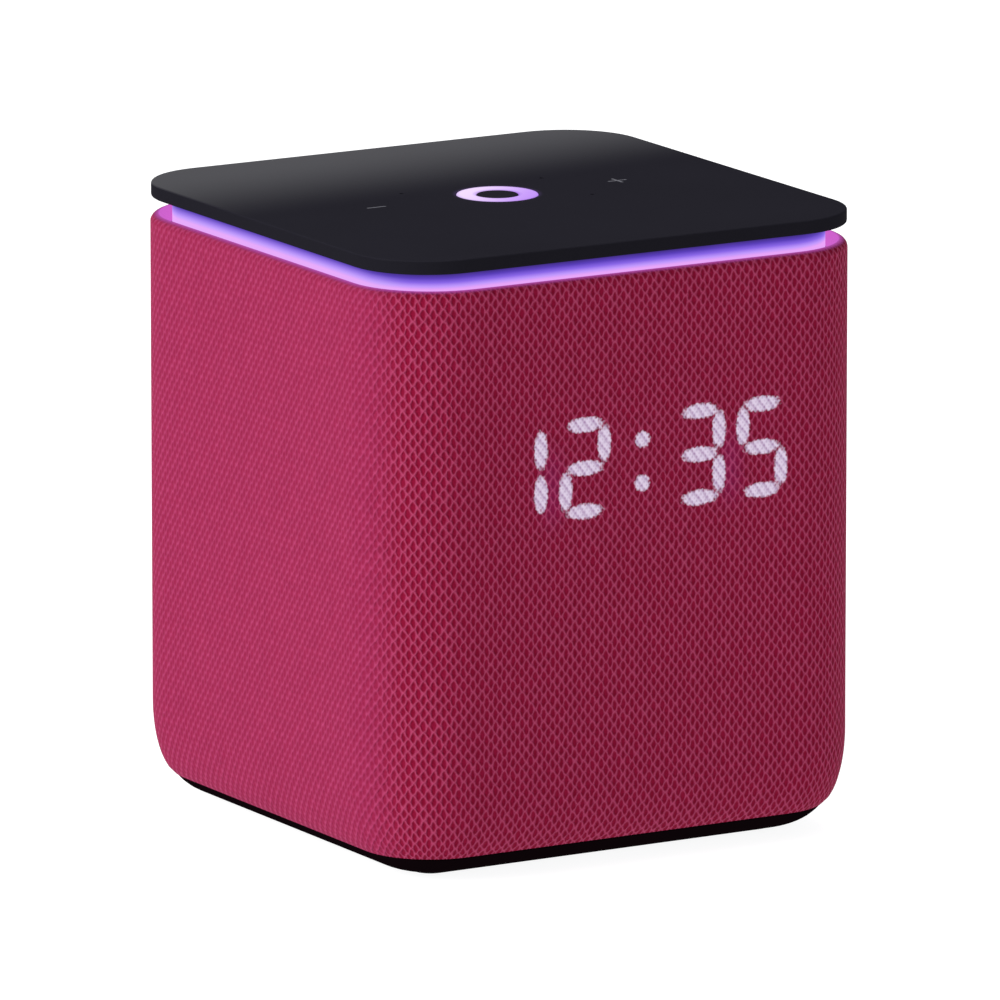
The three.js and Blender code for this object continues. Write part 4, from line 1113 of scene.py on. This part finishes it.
def make_mute_knob():
    """The mute slider: a flange behind the panel and a knob through the slot, with three grip grooves."""
    flange_start = 53.8
    flange_thick = 4.4
    flange_edge = 0.8
    knob_long = 6.6
    groove_wide = 0.3
    groove_start = 64.75
    knob = begin_rear("mute_knob_cap", MUTE_X, flange_start, MUTE_FLANGE, 5.0, 1.2, corner_steps=3)
    extrude(y=flange_thick)
    step(flange_edge, 0)
    narrow(MUTE_KNOB / (MUTE_FLANGE - 2 * flange_edge), MUTE_X, flange_start + flange_thick)
    step(0, knob_long)
    round_over(0.3)
    grooves = []
    for offset in (-0.8, 0.0, 0.8):
        grooves.append(rear_cutter(MUTE_X + offset, groove_start, groove_wide, 5.0, 0.05, 4, corner_steps=1))
    cut(knob, grooves)
    complete(knob, FINISHES["satin_cover"], ["mute_slider"], body="mute_knob")


# ---- The frame's own pieces ----


def dress_frame():
    """Gives every piece of the frame that stays visible the detailed finish of its slot."""
    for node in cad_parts.values():
        slot = node.data.materials[0].name.split(".")[0]
        node.data.materials[0] = FINISHES[slot]


# ---- Studio ----


def area_light(name, place, target, width, height, power):
    """A soft rectangular lamp at a place, in metres, that faces a target."""
    lamp = bpy.data.lights.new(name, "AREA")
    lamp.shape = "RECTANGLE"
    lamp.size = width
    lamp.size_y = height
    lamp.energy = power
    holder = bpy.data.objects.new(name, lamp)
    bpy.context.scene.collection.objects.link(holder)
    holder.location = place
    holder.rotation_euler = (Vector(target) - Vector(place)).to_track_quat("-Z", "Y").to_euler()


def make_studio():
    """A wide pale table, an even surround and three soft lamps, the strongest on the left."""
    floor = begin("table_top", bpy.ops.mesh.primitive_plane_add, size=16.0)
    bpy.ops.mesh.subdivide(number_cuts=7)
    leave_editing()
    floor.data.materials.append(floor_white())

    world = bpy.data.worlds.new("studio")
    world.use_nodes = True
    backdrop = world.node_tree.nodes["Background"]
    backdrop.inputs["Color"].default_value = (0.96, 0.96, 1.0, 1.0)
    backdrop.inputs["Strength"].default_value = 0.42
    bpy.context.scene.world = world

    middle = (0.0, 0.0, 0.075)
    area_light("left_window", (-2.7, 0.1, 1.2), middle, 1.5, 1.5, 72.0)
    area_light("front_fill", (0.9, -3.0, 1.3), middle, 1.6, 1.2, 6.0)
    area_light("overhead", (0.2, 0.6, 3.0), middle, 2.4, 2.4, 50.0)


def make_camera():
    """A long lens a little above the top, on the front's left."""
    azimuth = math.radians(-30.40)
    elevation = math.radians(12.09)
    distance = 3.5
    back = Vector(
        (
            math.sin(azimuth) * math.cos(elevation),
            -math.cos(azimuth) * math.cos(elevation),
            math.sin(elevation),
        )
    )
    right = Vector((math.cos(azimuth), math.sin(azimuth), 0.0))
    up = back.cross(right)
    aim = Vector((0.0, 0.0, 0.072)) + right * 0.00061 + up * 0.00276
    lens = bpy.data.cameras.new("camera")
    lens.sensor_width = 36.0
    lens.lens = 536.8
    lens.clip_start = 0.1
    lens.clip_end = 40.0
    camera = bpy.data.objects.new("camera", lens)
    bpy.context.scene.collection.objects.link(camera)
    camera.location = aim + back * distance
    camera.rotation_euler = (-back).to_track_quat("-Z", "Y").to_euler()
    bpy.context.scene.camera = camera


dress_frame()
make_sleeve()
make_cover()
make_ring()
make_cap()
make_guide()
make_base()
make_foot()
make_panel()
make_inlet()
make_mute_knob()
make_studio()
make_camera()
bpy.context.scene.view_settings.view_transform = "Standard"
